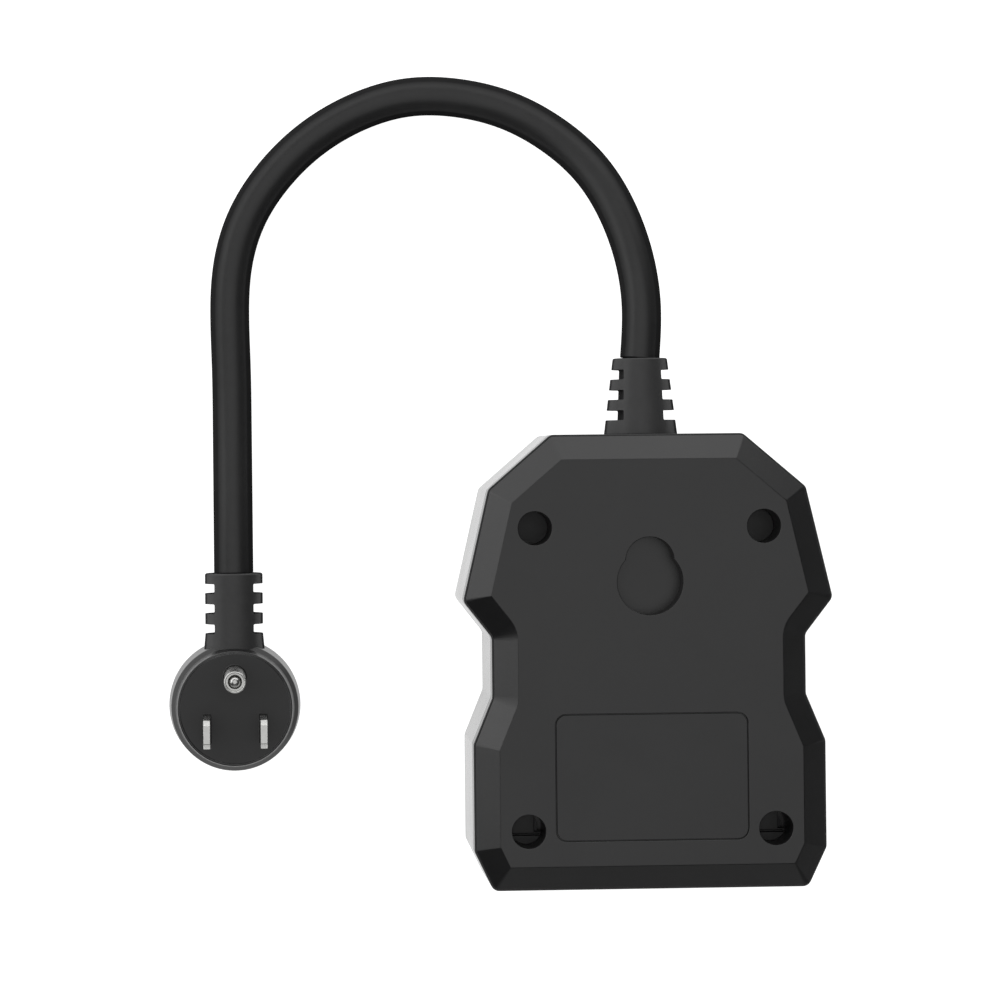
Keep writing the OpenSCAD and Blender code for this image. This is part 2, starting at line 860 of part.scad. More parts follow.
module board_lead(side) {
  end = [side * 4.5, component_y + 3.1];
  lead([[side * 2.3, inner_cord_end_y, gland_z], [side * 2.3, inner_cord_end_y - 0.6, gland_z],
        [side * 2.3, inner_cord_end_y - 1.2, gland_z], [end.x, end.y, board_top + 5],
        [end.x, end.y, board_top + 2], [end.x, end.y, board_top + 1], [end.x, end.y, board_top]]);
}

module line_lead() {
  color([0.1, 0.1, 0.1])
    board_lead(-1);
}

module neutral_lead() {
  color([0.9, 0.9, 0.88])
    board_lead(1);
}

module ground_lead() {
  color([0.1, 0.5, 0.2])
    lead([[0, inner_cord_end_y, gland_z + 2], [0, inner_cord_end_y - 4, gland_z + 2], [0, 30, bus_z + 0.2],
          [0, 10, bus_z], [0, -10, bus_z + 2.5], [0, outlet_y - ground_down, bus_z + bus_t + lead_r]]);
}

module outlet_lead(side) {
  x = side * outlet_x - blade_pitch / 2;
  start = [side * relay_x, relay_y, board_top + 8];
  color([0.1, 0.1, 0.1])
    lead([start, start - [0, 1, 0], start - [0, 2, 0], start + [0, -5, 2],
          [(x + start.x) / 2, -6, bus_z + 4], [x, line_post_y + 8, bus_z + 3],
          [x, line_post_y, bus_z + bus_t + lead_r]], [0, 0, 1]);
}

// ---- cord and plug ----
module cord() {
  color([0.13, 0.13, 0.135])
    tube(smooth(cord_route, steps_per_span), cord_r, cord_sides);
}

module relief_slots(from) {
  for (i = [0:rib_count - 1], side = [-1, 1])
    translate([0, 0, from + i * (rib_w + rib_gap)])
      block([side > 0 ? cord_r : -relief_base_w - 1, -relief_base_w - 1, 0],
            [side > 0 ? relief_base_w + 1 : -cord_r, relief_base_w + 1, rib_gap]);
}

module plug_strain_relief() {
  length = relief_top_y - plug_pos.y;
  ribbed = rib_count * (rib_w + rib_gap);
  color([0.13, 0.13, 0.135])
    difference() {
      translate([plug_pos.x, plug_pos.y, plug_cord_z])
        rotate([-90, 0, 0])
          difference() {
            union() {
              translate([0, 0, length - ribbed - skin])
                cylinder(r = relief_w, h = ribbed + skin, $fn = fine);
              cylinder(r1 = relief_base_w, r2 = relief_w, h = length - ribbed, $fn = fine);
            }
            relief_slots(length - ribbed);
          }
      plug_envelope();
    }
}

// The plug's outer form: a puck with a rounded back, drawn in towards its face.
module plug_envelope() {
  back_round = 3.2;
  translate([plug_pos.x, plug_pos.y, 0])
    rotate_extrude($fn = fine)
      polygon(concat(
        [[0, 0]],
        [for (a = [-90:15:0]) [plug_r - back_round + back_round * cos(a), back_round * (1 + sin(a))]],
        [for (t = [0.2:0.2:1])
          [plug_r - (plug_r - plug_face_r) * t * t, back_round + (plug_h - back_round) * t]],
        [[0, plug_h]]
      ));
}

module blade_shape(x, low) {
  block([x - blade_t / 2, blade_line_y - blade_w / 2, low],
        [x + blade_t / 2, blade_line_y + blade_w / 2, plug_h]);
}

module plug_pockets() {
  for (side = [-1, 1])
    blade_shape(plug_pos.x + side * blade_pitch / 2, plug_h - blade_root);
  translate([plug_pos.x, ground_y])
    rod(ground_root_r, plug_h - blade_root, plug_h + skin);
}

module plug_body() {
  color([0.13, 0.13, 0.135])
    difference() {
      plug_envelope();
      translate(plug_pos)
        rod(plug_face_r - 0.4, plug_h - plug_face_t, plug_h + skin);
      plug_pockets();
    }
}

module plug_face() {
  color([0.2, 0.2, 0.2])
    difference() {
      translate(plug_pos)
        rod(plug_face_r - 0.4, plug_h - plug_face_t, plug_h);
      plug_pockets();
    }
}

module blade(side) {
  x = plug_pos.x + side * blade_pitch / 2;
  tip = plug_h + blade_l;
  bevel = 1.2;
  color([0.8, 0.8, 0.8])
    translate([x - blade_t / 2, blade_line_y, 0])
      rotate([90, 0, 90])
        linear_extrude(blade_t)
          polygon([
            [-blade_w / 2, plug_h - blade_root], [blade_w / 2, plug_h - blade_root],
            [blade_w / 2, tip - bevel], [blade_w / 2 - bevel, tip],
            [bevel - blade_w / 2, tip], [-blade_w / 2, tip - bevel]
          ]);
}

// The ground pin is a sleeve with a domed core inside its mouth.
module ground_pin() {
  tip = plug_h + ground_l;
  core_r = 1.6;
  rim = 0.4;
  mouth = 2;
  color([0.8, 0.8, 0.8])
    translate([plug_pos.x, ground_y]) {
      rod(ground_root_r, plug_h - blade_root, plug_h + skin);
      difference() {
        rod(ground_r, plug_h, tip);
        rod(ground_r - rim, tip - mouth, tip + skin);
      }
      rod(core_r, tip - mouth - skin, tip - core_r);
      translate([0, 0, tip - core_r])
        intersection() {
          sphere(r = core_r, $fn = fine);
          rod(core_r + 1, 0, core_r + 1);
        }
    }
}

front_shell();
rear_cover();
housing_gasket();
rating_label();
case_screws();
screw_caps();
outlet_face(-1);  // outlet_face_left
outlet_face(1);  // outlet_face_right
contact_carrier(-1);  // contact_carrier_left
contact_carrier(1);  // contact_carrier_right
line_contact(-1);  // line_contact_left
line_contact(1);  // line_contact_right
neutral_bus();
ground_bus();
lid(-1);  // lid_left
lid(1);  // lid_right
lid_seal(-1);  // lid_seal_left
lid_seal(1);  // lid_seal_right
lid_spring(-1);  // lid_spring_left
lid_spring(1);  // lid_spring_right
lid_pin(-1);  // lid_pin_left
lid_pin(1);  // lid_pin_right
light_ring();
power_button();
switch_plunger();
tact_switch();
control_board();
relay(-1);  // relay_left
relay(1);  // relay_right
power_transformer();
filter_capacitor();
surge_varistor();
radio_module();
status_leds();
inner_cord();
cord_clamp();
clamp_screws();
line_lead();
neutral_lead();
ground_lead();
outlet_lead(-1);  // outlet_lead_left
outlet_lead(1);  // outlet_lead_right
cord_gland();
cord();
plug_strain_relief();
plug_body();
plug_face();
blade(-1);  // line_blade
blade(1);  // neutral_blade
ground_pin();
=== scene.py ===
import json
import math

import bmesh
import bpy
from mathutils import Matrix, Vector


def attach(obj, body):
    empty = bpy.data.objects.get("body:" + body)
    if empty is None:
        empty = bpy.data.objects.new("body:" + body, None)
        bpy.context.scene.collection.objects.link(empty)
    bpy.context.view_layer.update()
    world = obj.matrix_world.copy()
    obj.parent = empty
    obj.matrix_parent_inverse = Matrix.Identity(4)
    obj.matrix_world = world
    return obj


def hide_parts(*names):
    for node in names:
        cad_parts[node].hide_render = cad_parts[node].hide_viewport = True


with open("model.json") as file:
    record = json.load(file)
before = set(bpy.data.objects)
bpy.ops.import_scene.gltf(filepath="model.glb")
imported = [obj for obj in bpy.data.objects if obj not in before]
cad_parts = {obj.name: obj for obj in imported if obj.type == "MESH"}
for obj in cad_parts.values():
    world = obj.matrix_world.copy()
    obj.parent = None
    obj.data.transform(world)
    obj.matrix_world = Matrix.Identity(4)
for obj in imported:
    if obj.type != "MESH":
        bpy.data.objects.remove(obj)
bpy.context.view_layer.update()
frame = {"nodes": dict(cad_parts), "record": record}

mm = 0.001                                             # the shapes below are in millimetres
scene = bpy.context.scene


# The camera looks straight down on the rear cover, from above its left side.
cameraSetup = {
    "place": (-0.09326, 0.04599, 0.81263),
    "turn": (0.617, -2.66, -0.587),                    # degrees round X, Y and Z
    "lens": 126.0,
    "sensor": 36.0,
    "shift": (0.1081, -0.0781),
    "near": 0.01, "far": 20.0,
}


def placeCamera(setup):
    lens = bpy.data.cameras.new("camera")
    lens.lens = setup["lens"]
    lens.sensor_width = setup["sensor"]
    lens.shift_x, lens.shift_y = setup["shift"]
    lens.clip_start, lens.clip_end = setup["near"], setup["far"]
    camera = bpy.data.objects.new("camera", lens)
    camera.location = setup["place"]
    camera.rotation_euler = [math.radians(a) for a in setup["turn"]]
    scene.collection.objects.link(camera)
    scene.camera = camera


placeCamera(cameraSetup)


# One node of a tree: its settings first, then its inputs, each linked or set.
def addNode(tree, kind, inputs=None, **settings):
    node = tree.nodes.new("ShaderNode" + kind)
    for key, value in settings.items():
        setattr(node, key, value)
    for socket, value in (inputs or {}).items():
        if isinstance(value, bpy.types.NodeSocket):
            tree.links.new(value, node.inputs[socket])
        else:
            node.inputs[socket].default_value = value
    return node


# A shader group with named sockets; each input is a name and its first value.
def startGroup(name, inputs, outputs):
    tree = bpy.data.node_groups.new(name, "ShaderNodeTree")
    for label, value in inputs.items():
        kind = "NodeSocketColor" if isinstance(value, tuple) else "NodeSocketFloat"
        tree.interface.new_socket(label, in_out="INPUT", socket_type=kind).default_value = value
    for label, kind in outputs.items():
        tree.interface.new_socket(label, in_out="OUTPUT", socket_type="NodeSocket" + kind)
    entry = tree.nodes.new("NodeGroupInput")
    leave = tree.nodes.new("NodeGroupOutput")
    return tree, entry.outputs, leave.inputs


def useGroup(tree, group, inputs):
    return addNode(tree, "Group", inputs, node_tree=group).outputs


def math2(tree, operation, first, second, clamp=False):
    return addNode(tree, "Math", {0: first, 1: second}, operation=operation, use_clamp=clamp).outputs[0]


# Fine spark-eroded mould texture: a height, and flecks of tone.
def buildMouldGrain():
    tree, entry, leave = startGroup(
        "mouldGrain", {"Size": 2400.0, "Pits": 0.35}, {"Height": "Float", "Fleck": "Float"})
    here = addNode(tree, "TexCoord").outputs["Object"]
    fine = addNode(tree, "TexNoise", {"Vector": here, "Scale": entry["Size"], "Detail": 3.0, "Roughness": 0.6})
    pitScale = math2(tree, "MULTIPLY", entry["Size"], 0.55)                     # pits are coarser
    pits = addNode(tree, "TexVoronoi", {"Vector": here, "Scale": pitScale}, feature="SMOOTH_F1")
    sunk = math2(tree, "MULTIPLY", pits.outputs["Distance"], entry["Pits"])
    tree.links.new(math2(tree, "ADD", fine.outputs["Fac"], sunk), leave["Height"])
    fleckScale = math2(tree, "MULTIPLY", entry["Size"], 0.22)                   # flecks are coarser still
    fleck = addNode(tree, "TexNoise", {"Vector": here, "Scale": fleckScale, "Detail": 2.0})
    tree.links.new(fleck.outputs["Fac"], leave["Fleck"])
    return tree


# Rubbed edges and, on the plug vinyl, a painted rim highlight: where the rounded normal leaves the true one,
# broken up by noise.
def buildEdgeWearAndHighlight():
    tree, entry, leave = startGroup(
        "edgeWearAndHighlight", {"Radius": 0.0004, "Amount": 1.0, "Patches": 90.0}, {"Mask": "Float"})
    here = addNode(tree, "TexCoord").outputs["Object"]
    rounded = addNode(tree, "Bevel", {"Radius": entry["Radius"]}, samples=4)
    flat = addNode(tree, "NewGeometry").outputs["Normal"]
    along = addNode(tree, "VectorMath", {0: rounded.outputs[0], 1: flat}, operation="DOT_PRODUCT")
    bent = math2(tree, "SUBTRACT", 1.0, along.outputs["Value"])
    patches = addNode(tree, "TexNoise", {"Vector": here, "Scale": entry["Patches"], "Detail": 4.0})
    rubbed = addNode(tree, "MapRange", {"Value": patches.outputs["Fac"], "From Min": 0.38, "From Max": 0.68})
    bent = math2(tree, "MULTIPLY", bent, 6.0, clamp=True)                       # a slight bend already shows
    strong = math2(tree, "MULTIPLY", bent, rubbed.outputs[0])
    tree.links.new(math2(tree, "MULTIPLY", strong, entry["Amount"], clamp=True), leave["Mask"])
    return tree


# Base colour with slow drift and flecks, turning to the worn colour under the mask; on the plug vinyl that
# colour is a painted rim highlight.
def buildColourDrift():
    tree, entry, leave = startGroup(
        "colourDrift",
        {"Base": (0.1, 0.1, 0.1, 1.0), "Worn And Highlight": (0.3, 0.3, 0.3, 1.0), "Drift": 0.15, "Patch Size": 45.0,
         "Fleck": 0.5, "Fleck Amount": 0.2, "Wear And Highlight": 0.0},
        {"Color": "Color"})
    here = addNode(tree, "TexCoord").outputs["Object"]
    slow = addNode(tree, "TexNoise", {"Vector": here, "Scale": entry["Patch Size"], "Detail": 3.0})
    drift = math2(tree, "MULTIPLY", math2(tree, "SUBTRACT", slow.outputs["Fac"], 0.5), entry["Drift"])
    fleck = math2(tree, "MULTIPLY", math2(tree, "SUBTRACT", entry["Fleck"], 0.5), entry["Fleck Amount"])
    gain = math2(tree, "ADD", 1.0, math2(tree, "ADD", drift, fleck))
    toned = addNode(tree, "VectorMath", {0: entry["Base"], "Scale": gain}, operation="SCALE")
    mix = addNode(tree, "Mix", {0: entry["Wear And Highlight"], 6: toned.outputs[0], 7: entry["Worn And Highlight"]}, data_type="RGBA")
    tree.links.new(mix.outputs[2], leave["Color"])
    return tree


# Roughness that drifts with handling and mould flow.
def buildHandling():
    tree, entry, leave = startGroup(
        "handling", {"Roughness": 0.5, "Spread": 0.1, "Patch Size": 60.0, "Wear And Highlight": 0.0, "Worn Shift": -0.1},
        {"Roughness": "Float"})
    here = addNode(tree, "TexCoord").outputs["Object"]
    smear = addNode(tree, "TexNoise", {
        "Vector": here, "Scale": entry["Patch Size"], "Detail": 4.0, "Distortion": 0.6})
    spread = math2(tree, "MULTIPLY", math2(tree, "SUBTRACT", smear.outputs["Fac"], 0.5), entry["Spread"])
    shift = math2(tree, "MULTIPLY", entry["Wear And Highlight"], entry["Worn Shift"])
    total = math2(tree, "ADD", entry["Roughness"], math2(tree, "ADD", spread, shift), clamp=True)
    tree.links.new(total, leave["Roughness"])
    return tree


# Fine lines of drawn, rolled or extruded stock, along one axis.
def buildDrawnLines():
    tree, entry, leave = startGroup(
        "drawnLines", {"Size": 3000.0, "Along X": 1.0, "Along Y": 1.0, "Along Z": 0.04},
        {"Height": "Float", "Fleck": "Float"})
    here = addNode(tree, "TexCoord").outputs["Object"]
    stretch = addNode(tree, "CombineXYZ", {0: entry["Along X"], 1: entry["Along Y"], 2: entry["Along Z"]})
    drawn = addNode(tree, "VectorMath", {0: here, 1: stretch.outputs[0]}, operation="MULTIPLY")
    lines = addNode(tree, "TexNoise", {
        "Vector": drawn.outputs[0], "Scale": entry["Size"], "Detail": 4.0, "Roughness": 0.65})
    tree.links.new(lines.outputs["Fac"], leave["Height"])
    broad = math2(tree, "MULTIPLY", entry["Size"], 0.15)
    tone = addNode(tree, "TexNoise", {"Vector": drawn.outputs[0], "Scale": broad, "Detail": 2.0})
    tree.links.new(tone.outputs["Fac"], leave["Fleck"])
    return tree


mouldGrain = buildMouldGrain()
edgeWearAndHighlight = buildEdgeWearAndHighlight()
colourDrift = buildColourDrift()
handling = buildHandling()
drawnLines = buildDrawnLines()
print("shader groups ready")


# A material with one Principled shader, ready for its finish.
def startMaterial(name):
    material = bpy.data.materials.new(name)
    material.use_nodes = True
    tree = material.node_tree
    tree.nodes.clear()
    shader = addNode(tree, "BsdfPrincipled")
    output = addNode(tree, "OutputMaterial")
    tree.links.new(shader.outputs[0], output.inputs["Surface"])
    return material, tree, shader


def finishSurface(tree, shader, look, surface):
    # The edge mask lightens rubbed edges; on the plug vinyl it paints a light rim as a painted highlight.
    wearAndHighlight = useGroup(tree, edgeWearAndHighlight, {
        "Radius": look["wearAndHighlightRadius"], "Amount": look["wearAndHighlight"], "Patches": look["wearPatches"]})
    tone = useGroup(tree, colourDrift, {
        "Base": look["colour"] + (1.0,), "Worn And Highlight": look["wornAndHighlight"] + (1.0,), "Drift": look["drift"],
        "Patch Size": look["patchSize"], "Fleck": surface["Fleck"], "Fleck Amount": look["flecks"],
        "Wear And Highlight": wearAndHighlight["Mask"]})
    tree.links.new(tone["Color"], shader.inputs["Base Color"])
    rough = useGroup(tree, handling, {
        "Roughness": look["roughness"], "Spread": look["spread"], "Patch Size": look["smearSize"],
        "Wear And Highlight": wearAndHighlight["Mask"], "Worn Shift": look["wornShift"]})
    tree.links.new(rough["Roughness"], shader.inputs["Roughness"])
    bump = addNode(tree, "Bump", {
        "Strength": look["bump"], "Distance": look["depth"], "Height": surface["Height"]})
    tree.links.new(bump.outputs[0], shader.inputs["Normal"])


def plasticFinish(name, look):
    material, tree, shader = startMaterial(name)
    surface = useGroup(tree, mouldGrain, {"Size": look["grain"], "Pits": look["pits"]})
    finishSurface(tree, shader, look, surface)
    shader.inputs["Specular IOR Level"].default_value = look["specular"]
    if "dullFrom" in look:                              # the shine fades towards the silhouette
        facing = addNode(tree, "LayerWeight", {"Blend": 0.5}).outputs["Facing"]
        level = addNode(tree, "MapRange", {
            "Value": facing, "From Min": look["dullFrom"], "From Max": look["dullFrom"] + look["dullSpan"],
            "To Min": look["specular"], "To Max": 0.0})
        tree.links.new(level.outputs[0], shader.inputs["Specular IOR Level"])
    shader.inputs["Coat Weight"].default_value = look["coat"]
    shader.inputs["Coat Roughness"].default_value = look["coatRoughness"]
    shader.inputs["Subsurface Weight"].default_value = look["milkiness"]
    shader.inputs["Subsurface Scale"].default_value = look["milkDepth"]
    if "glow" in look:
        shader.inputs["Emission Color"].default_value = look["glow"] + (1.0,)
        shader.inputs["Emission Strength"].default_value = look["glowStrength"]
    return material


def metalFinish(name, look):
    material, tree, shader = startMaterial(name)
    x, y, z = look["stretch"]
    surface = useGroup(tree, drawnLines, {"Size": look["grain"], "Along X": x, "Along Y": y, "Along Z": z})
    finishSurface(tree, shader, look, surface)
    shader.inputs["Metallic"].default_value = 1.0
    return material


# Laminate with copper tracks under a green mask.
def boardFinish(name, look):
    material, tree, shader = startMaterial(name)
    here = addNode(tree, "TexCoord").outputs["Object"]
    tracks = addNode(tree, "TexBrick", {
        "Vector": here, "Scale": look["trackSize"], "Mortar Size": 0.09, "Mortar Smooth": 0.2,
        "Color1": (1, 1, 1, 1), "Color2": (0.9, 0.9, 0.9, 1), "Mortar": (0, 0, 0, 1)})
    track = math2(tree, "SUBTRACT", 1.0, tracks.outputs["Fac"])
    surface = useGroup(tree, mouldGrain, {"Size": look["grain"], "Pits": look["pits"]})
    finishSurface(tree, shader, look, {"Fleck": track, "Height": surface["Height"]})
    shader.inputs["Coat Weight"].default_value = look["coat"]
    return material


# What a finish has unless it says otherwise.
usualLook = {
    "pits": 0.35, "bump": 0.4, "depth": 0.00004, "stretch": (1.0, 1.0, 0.04),
    "wearAndHighlight": 0.4, "wearAndHighlightRadius": 0.0004, "wearPatches": 90.0, "wornShift": -0.08,
    "drift": 0.16, "patchSize": 45.0, "flecks": 0.25, "spread": 0.1, "smearSize": 63.0,
    "specular": 0.5, "dullSpan": 0.32, "coat": 0.0, "coatRoughness": 0.2, "milkiness": 0.0, "milkDepth": 0.001,
}
finishes = {
    "shell_plastic": ("plastic", "satinShell", {
        "colour": (0.007, 0.007, 0.0074), "wornAndHighlight": (0.05, 0.05, 0.052), "roughness": 0.19, "spread": 0.06,
        "grain": 2600.0, "depth": 0.00002, "bump": 0.3, "wearAndHighlight": 0.25}),
    "cover_plastic": ("plastic", "matteCover", {
        "colour": (0.0065, 0.0065, 0.0069), "wornAndHighlight": (0.05, 0.05, 0.052), "roughness": 0.3, "spread": 0.08,
        "grain": 2300.0, "depth": 0.00003, "bump": 0.45, "wearAndHighlight": 0.25}),
    "label_plastic": ("plastic", "labelFoil", {
        "colour": (0.0065, 0.0065, 0.0069), "wornAndHighlight": (0.04, 0.04, 0.042), "roughness": 0.32, "grain": 3200.0,
        "depth": 0.00002, "bump": 0.35, "wearAndHighlight": 0.1}),
    "lid_plastic": ("plastic", "lidPlastic", {
        "colour": (0.011, 0.011, 0.0115), "wornAndHighlight": (0.06, 0.06, 0.062), "roughness": 0.38, "grain": 2600.0,
        "depth": 0.00002, "wearAndHighlight": 0.45}),
    "face_plastic": ("plastic", "outletPlastic", {
        "colour": (0.012, 0.012, 0.0125), "wornAndHighlight": (0.05, 0.05, 0.05), "roughness": 0.45, "grain": 2600.0,
        "depth": 0.00002, "wearAndHighlight": 0.5}),
    "carrier_plastic": ("plastic", "contactCarrier", {
        "colour": (0.5, 0.47, 0.4), "wornAndHighlight": (0.62, 0.6, 0.54), "roughness": 0.55, "grain": 2000.0,
        "depth": 0.00003}),
    "button_plastic": ("plastic", "buttonPlastic", {
        "colour": (0.014, 0.014, 0.015), "wornAndHighlight": (0.06, 0.06, 0.062), "roughness": 0.3, "grain": 3000.0,
        "depth": 0.000015, "wearAndHighlight": 0.5}),
    "ring_plastic": ("plastic", "ringDiffuser", {
        "colour": (0.62, 0.68, 0.72), "wornAndHighlight": (0.8, 0.8, 0.8), "roughness": 0.35, "grain": 2500.0,
        "depth": 0.00002, "milkiness": 0.3, "drift": 0.08, "glow": (0.75, 0.88, 1.0), "glowStrength": 0.12}),
    "part_plastic": ("plastic", "partPlastic", {
        "colour": (0.035, 0.035, 0.036), "wornAndHighlight": (0.1, 0.1, 0.1), "roughness": 0.5, "grain": 2200.0}),
    "relay_plastic": ("plastic", "relayCase", {
        "colour": (0.02, 0.075, 0.3), "wornAndHighlight": (0.15, 0.22, 0.45), "roughness": 0.4, "grain": 2200.0,
        "wearAndHighlight": 0.4}),
    "coil_tape": ("plastic", "coilTape", {
        "colour": (0.65, 0.46, 0.08), "wornAndHighlight": (0.75, 0.62, 0.25), "roughness": 0.3, "grain": 1200.0,
        "coat": 0.4}),
    "varistor_coat": ("plastic", "varistorCoat", {
        "colour": (0.015, 0.06, 0.28), "wornAndHighlight": (0.1, 0.15, 0.35), "roughness": 0.25, "grain": 900.0,
        "coat": 0.5}),
    "board_laminate": ("board", "boardLaminate", {
        "colour": (0.012, 0.09, 0.03), "wornAndHighlight": (0.3, 0.32, 0.2), "roughness": 0.35, "trackSize": 160.0,
        "flecks": 0.9, "grain": 1500.0, "pits": 0.2, "coat": 0.5}),
    "led_resin": ("plastic", "ledResin", {
        "colour": (0.8, 0.84, 0.85), "wornAndHighlight": (0.9, 0.9, 0.9), "roughness": 0.2, "grain": 1500.0, "coat": 0.6,
        "glow": (0.55, 0.75, 1.0), "glowStrength": 0.3}),
    "black_rubber": ("plastic", "blackRubber", {
        "colour": (0.038, 0.038, 0.0385), "wornAndHighlight": (0.07, 0.07, 0.071), "roughness": 0.45, "grain": 1900.0,
        "depth": 0.00003, "wearAndHighlight": 0.2, "specular": 0.3, "dullFrom": 0.35}),
    "grey_rubber": ("plastic", "sealRubber", {
        "colour": (0.05, 0.05, 0.052), "wornAndHighlight": (0.12, 0.12, 0.12), "roughness": 0.65, "grain": 1800.0,
        "depth": 0.00003}),
    "cord_jacket": ("plastic", "cordJacket", {
        "colour": (0.021, 0.021, 0.0214), "wornAndHighlight": (0.03, 0.03, 0.031), "roughness": 0.38, "spread": 0.1,
        "grain": 1700.0, "depth": 0.00003, "bump": 0.3, "wearAndHighlight": 0.0, "drift": 0.2, "specular": 0.34,
        "dullFrom": 0.05}),
    # The plug's pale edge colour under a strong edge mask is a painted rim highlight, not wear.
    "plug_vinyl": ("plastic", "plugVinyl", {
        "colour": (0.006, 0.006, 0.0063), "wornAndHighlight": (0.2, 0.2, 0.205), "roughness": 0.36, "grain": 2000.0,
        "depth": 0.00002, "wearAndHighlight": 0.8, "wearAndHighlightRadius": 0.0003, "specular": 0.45}),
    "lead_black": ("plastic", "blackLead", {
        "colour": (0.015, 0.015, 0.015), "wornAndHighlight": (0.05, 0.05, 0.05), "roughness": 0.4, "grain": 2500.0}),
    "lead_white": ("plastic", "whiteLead", {
        "colour": (0.7, 0.7, 0.67), "wornAndHighlight": (0.6, 0.6, 0.58), "roughness": 0.4, "grain": 2500.0}),
    "lead_green": ("plastic", "greenLead", {
        "colour": (0.02, 0.22, 0.05), "wornAndHighlight": (0.1, 0.3, 0.12), "roughness": 0.4, "grain": 2500.0}),
    "screw_steel": ("metal", "screwSteel", {
        "colour": (0.035, 0.035, 0.036), "wornAndHighlight": (0.3, 0.3, 0.3), "roughness": 0.45, "grain": 2500.0,
        "depth": 0.00001, "wearAndHighlight": 0.5}),
    "spring_steel": ("metal", "springSteel", {
        "colour": (0.5, 0.5, 0.52), "wornAndHighlight": (0.65, 0.65, 0.65), "roughness": 0.25, "grain": 4000.0,
        "depth": 0.00001, "stretch": (0.1, 1.0, 1.0)}),
    "module_can": ("metal", "moduleCan", {
        "colour": (0.58, 0.58, 0.58), "wornAndHighlight": (0.7, 0.7, 0.7), "roughness": 0.3, "grain": 1800.0,
        "depth": 0.00001, "stretch": (0.05, 1.0, 1.0)}),
    "clamp_steel": ("metal", "clampSteel", {
        "colour": (0.45, 0.45, 0.44), "wornAndHighlight": (0.6, 0.6, 0.58), "roughness": 0.4, "grain": 1800.0,
        "depth": 0.00001, "stretch": (0.05, 1.0, 1.0)}),
    "contact_brass": ("metal", "contactBrass", {
        "colour": (0.62, 0.42, 0.14), "wornAndHighlight": (0.8, 0.62, 0.3), "roughness": 0.3, "grain": 2200.0,
        "depth": 0.00001}),
    "plated_brass": ("metal", "platedBrass", {
        "colour": (0.48, 0.48, 0.47), "wornAndHighlight": (0.85, 0.85, 0.82), "roughness": 0.26, "grain": 3600.0,
        "depth": 0.000012, "wearAndHighlight": 0.5, "drift": 0.1}),
}
makers = {"plastic": plasticFinish, "metal": metalFinish, "board": boardFinish}
materialOf = {slotName: makers[kind](name, {**usualLook, **look})
              for slotName, (kind, name, look) in finishes.items()}
print("materials ready:", len(materialOf))


# Shape helpers: everything is built in millimetres and settled in metres.
def turned2d(vector, angle):
    c, s = math.cos(angle), math.sin(angle)
    return Vector((vector.x * c - vector.y * s, vector.x * s + vector.y * c))


def cross2d(a, b):
    return a.x * b.y - a.y * b.x


# The angles of a quarter turn.
def quarter(count):
    return [math.radians(90 * k / count) for k in range(count + 1)]


# A path of two-number points; a third number rounds that corner with its radius.
def roundedPath(points, arcSteps=5):
    path = []
    for i, point in enumerate(points):
        here = Vector(point[:2])
        radius = point[2] if len(point) > 2 else 0
        if not radius:
            path.append(here)
            continue
        before = (Vector(points[i - 1][:2]) - here).normalized()
        after = (Vector(points[(i + 1) % len(points)][:2]) - here).normalized()
        half = before.angle(after) / 2
        centre = here + (before + after).normalized() * (radius / math.sin(half))
        start = here + before * (radius / math.tan(half)) - centre
        end = here + after * (radius / math.tan(half)) - centre
        sweep = math.atan2(cross2d(start, end), start.dot(end))
        path += [centre + turned2d(start, sweep * k / arcSteps) for k in range(arcSteps + 1)]
    return path


# A closed skin through rings of equally many points, capped at both ends.
def loft(bm, rings):
    loops = [[bm.verts.new(point) for point in ring] for ring in rings]
    for low, high in zip(loops, loops[1:]):
        for k in range(len(low)):
            m = (k + 1) % len(low)
            bm.faces.new((low[k], low[m], high[m], high[k]))
    bm.faces.new(loops[0])
    bm.faces.new(loops[-1])


# Turns a path of (radius, height) points round an upright axis.
def turnPath(bm, path, steps=72, closed=False):
    loops = []
    for radius, height in path:
        count = 1 if radius < 1e-6 else steps
        angles = [2 * math.pi * k / steps for k in range(count)]
        loops.append([bm.verts.new((radius * math.cos(a), radius * math.sin(a), height)) for a in angles])
    pairs = list(zip(loops, loops[1:])) + ([(loops[-1], loops[0])] if closed else [])
    for low, high in pairs:
        for k in range(steps):
            m = (k + 1) % steps
            corners = [low[k % len(low)], low[m % len(low)], high[m % len(high)], high[k % len(high)]]
            bm.faces.new(list(dict.fromkeys(corners)))


# An object from a mesh being built; a place without a height is at height 0.
def makePiece(name, bm, place=(0, 0), turn=None):
    bmesh.ops.recalc_face_normals(bm, faces=bm.faces)
    mesh = bpy.data.meshes.new(name)
    bm.to_mesh(mesh)
    bm.free()
    if turn is not None:
        mesh.transform(turn)
    mesh.transform(Matrix.Translation((*place, 0)[:3]))
    piece = bpy.data.objects.new(name, mesh)
    scene.collection.objects.link(piece)
    return piece


def turnedPiece(name, path, place=(0, 0), turn=None, steps=72, closed=False):
    bm = bmesh.new()
    turnPath(bm, path, steps, closed)
    return makePiece(name, bm, place, turn)


# A plain round bar, upright or turned along an axis.
def rod(radius, low, high, place=(0, 0), turn=None, steps=64):
    return turnedPiece("cutter", [(0, low), (radius, low), (radius, high), (0, high)], place, turn, steps)


def boxPiece(name, low, high, edge=0.0):
    bm = bmesh.new()
    corners = [(low[0], low[1]), (high[0], low[1]), (high[0], high[1]), (low[0], high[1])]
    loft(bm, [[(x, y, z) for x, y in corners] for z in (low[2], high[2])])
    bmesh.ops.recalc_face_normals(bm, faces=bm.faces)
    if edge:
        bmesh.ops.bevel(bm, geom=bm.edges[:], offset=edge, segments=3, profile=0.5, affect="EDGES")
    return makePiece(name, bm)


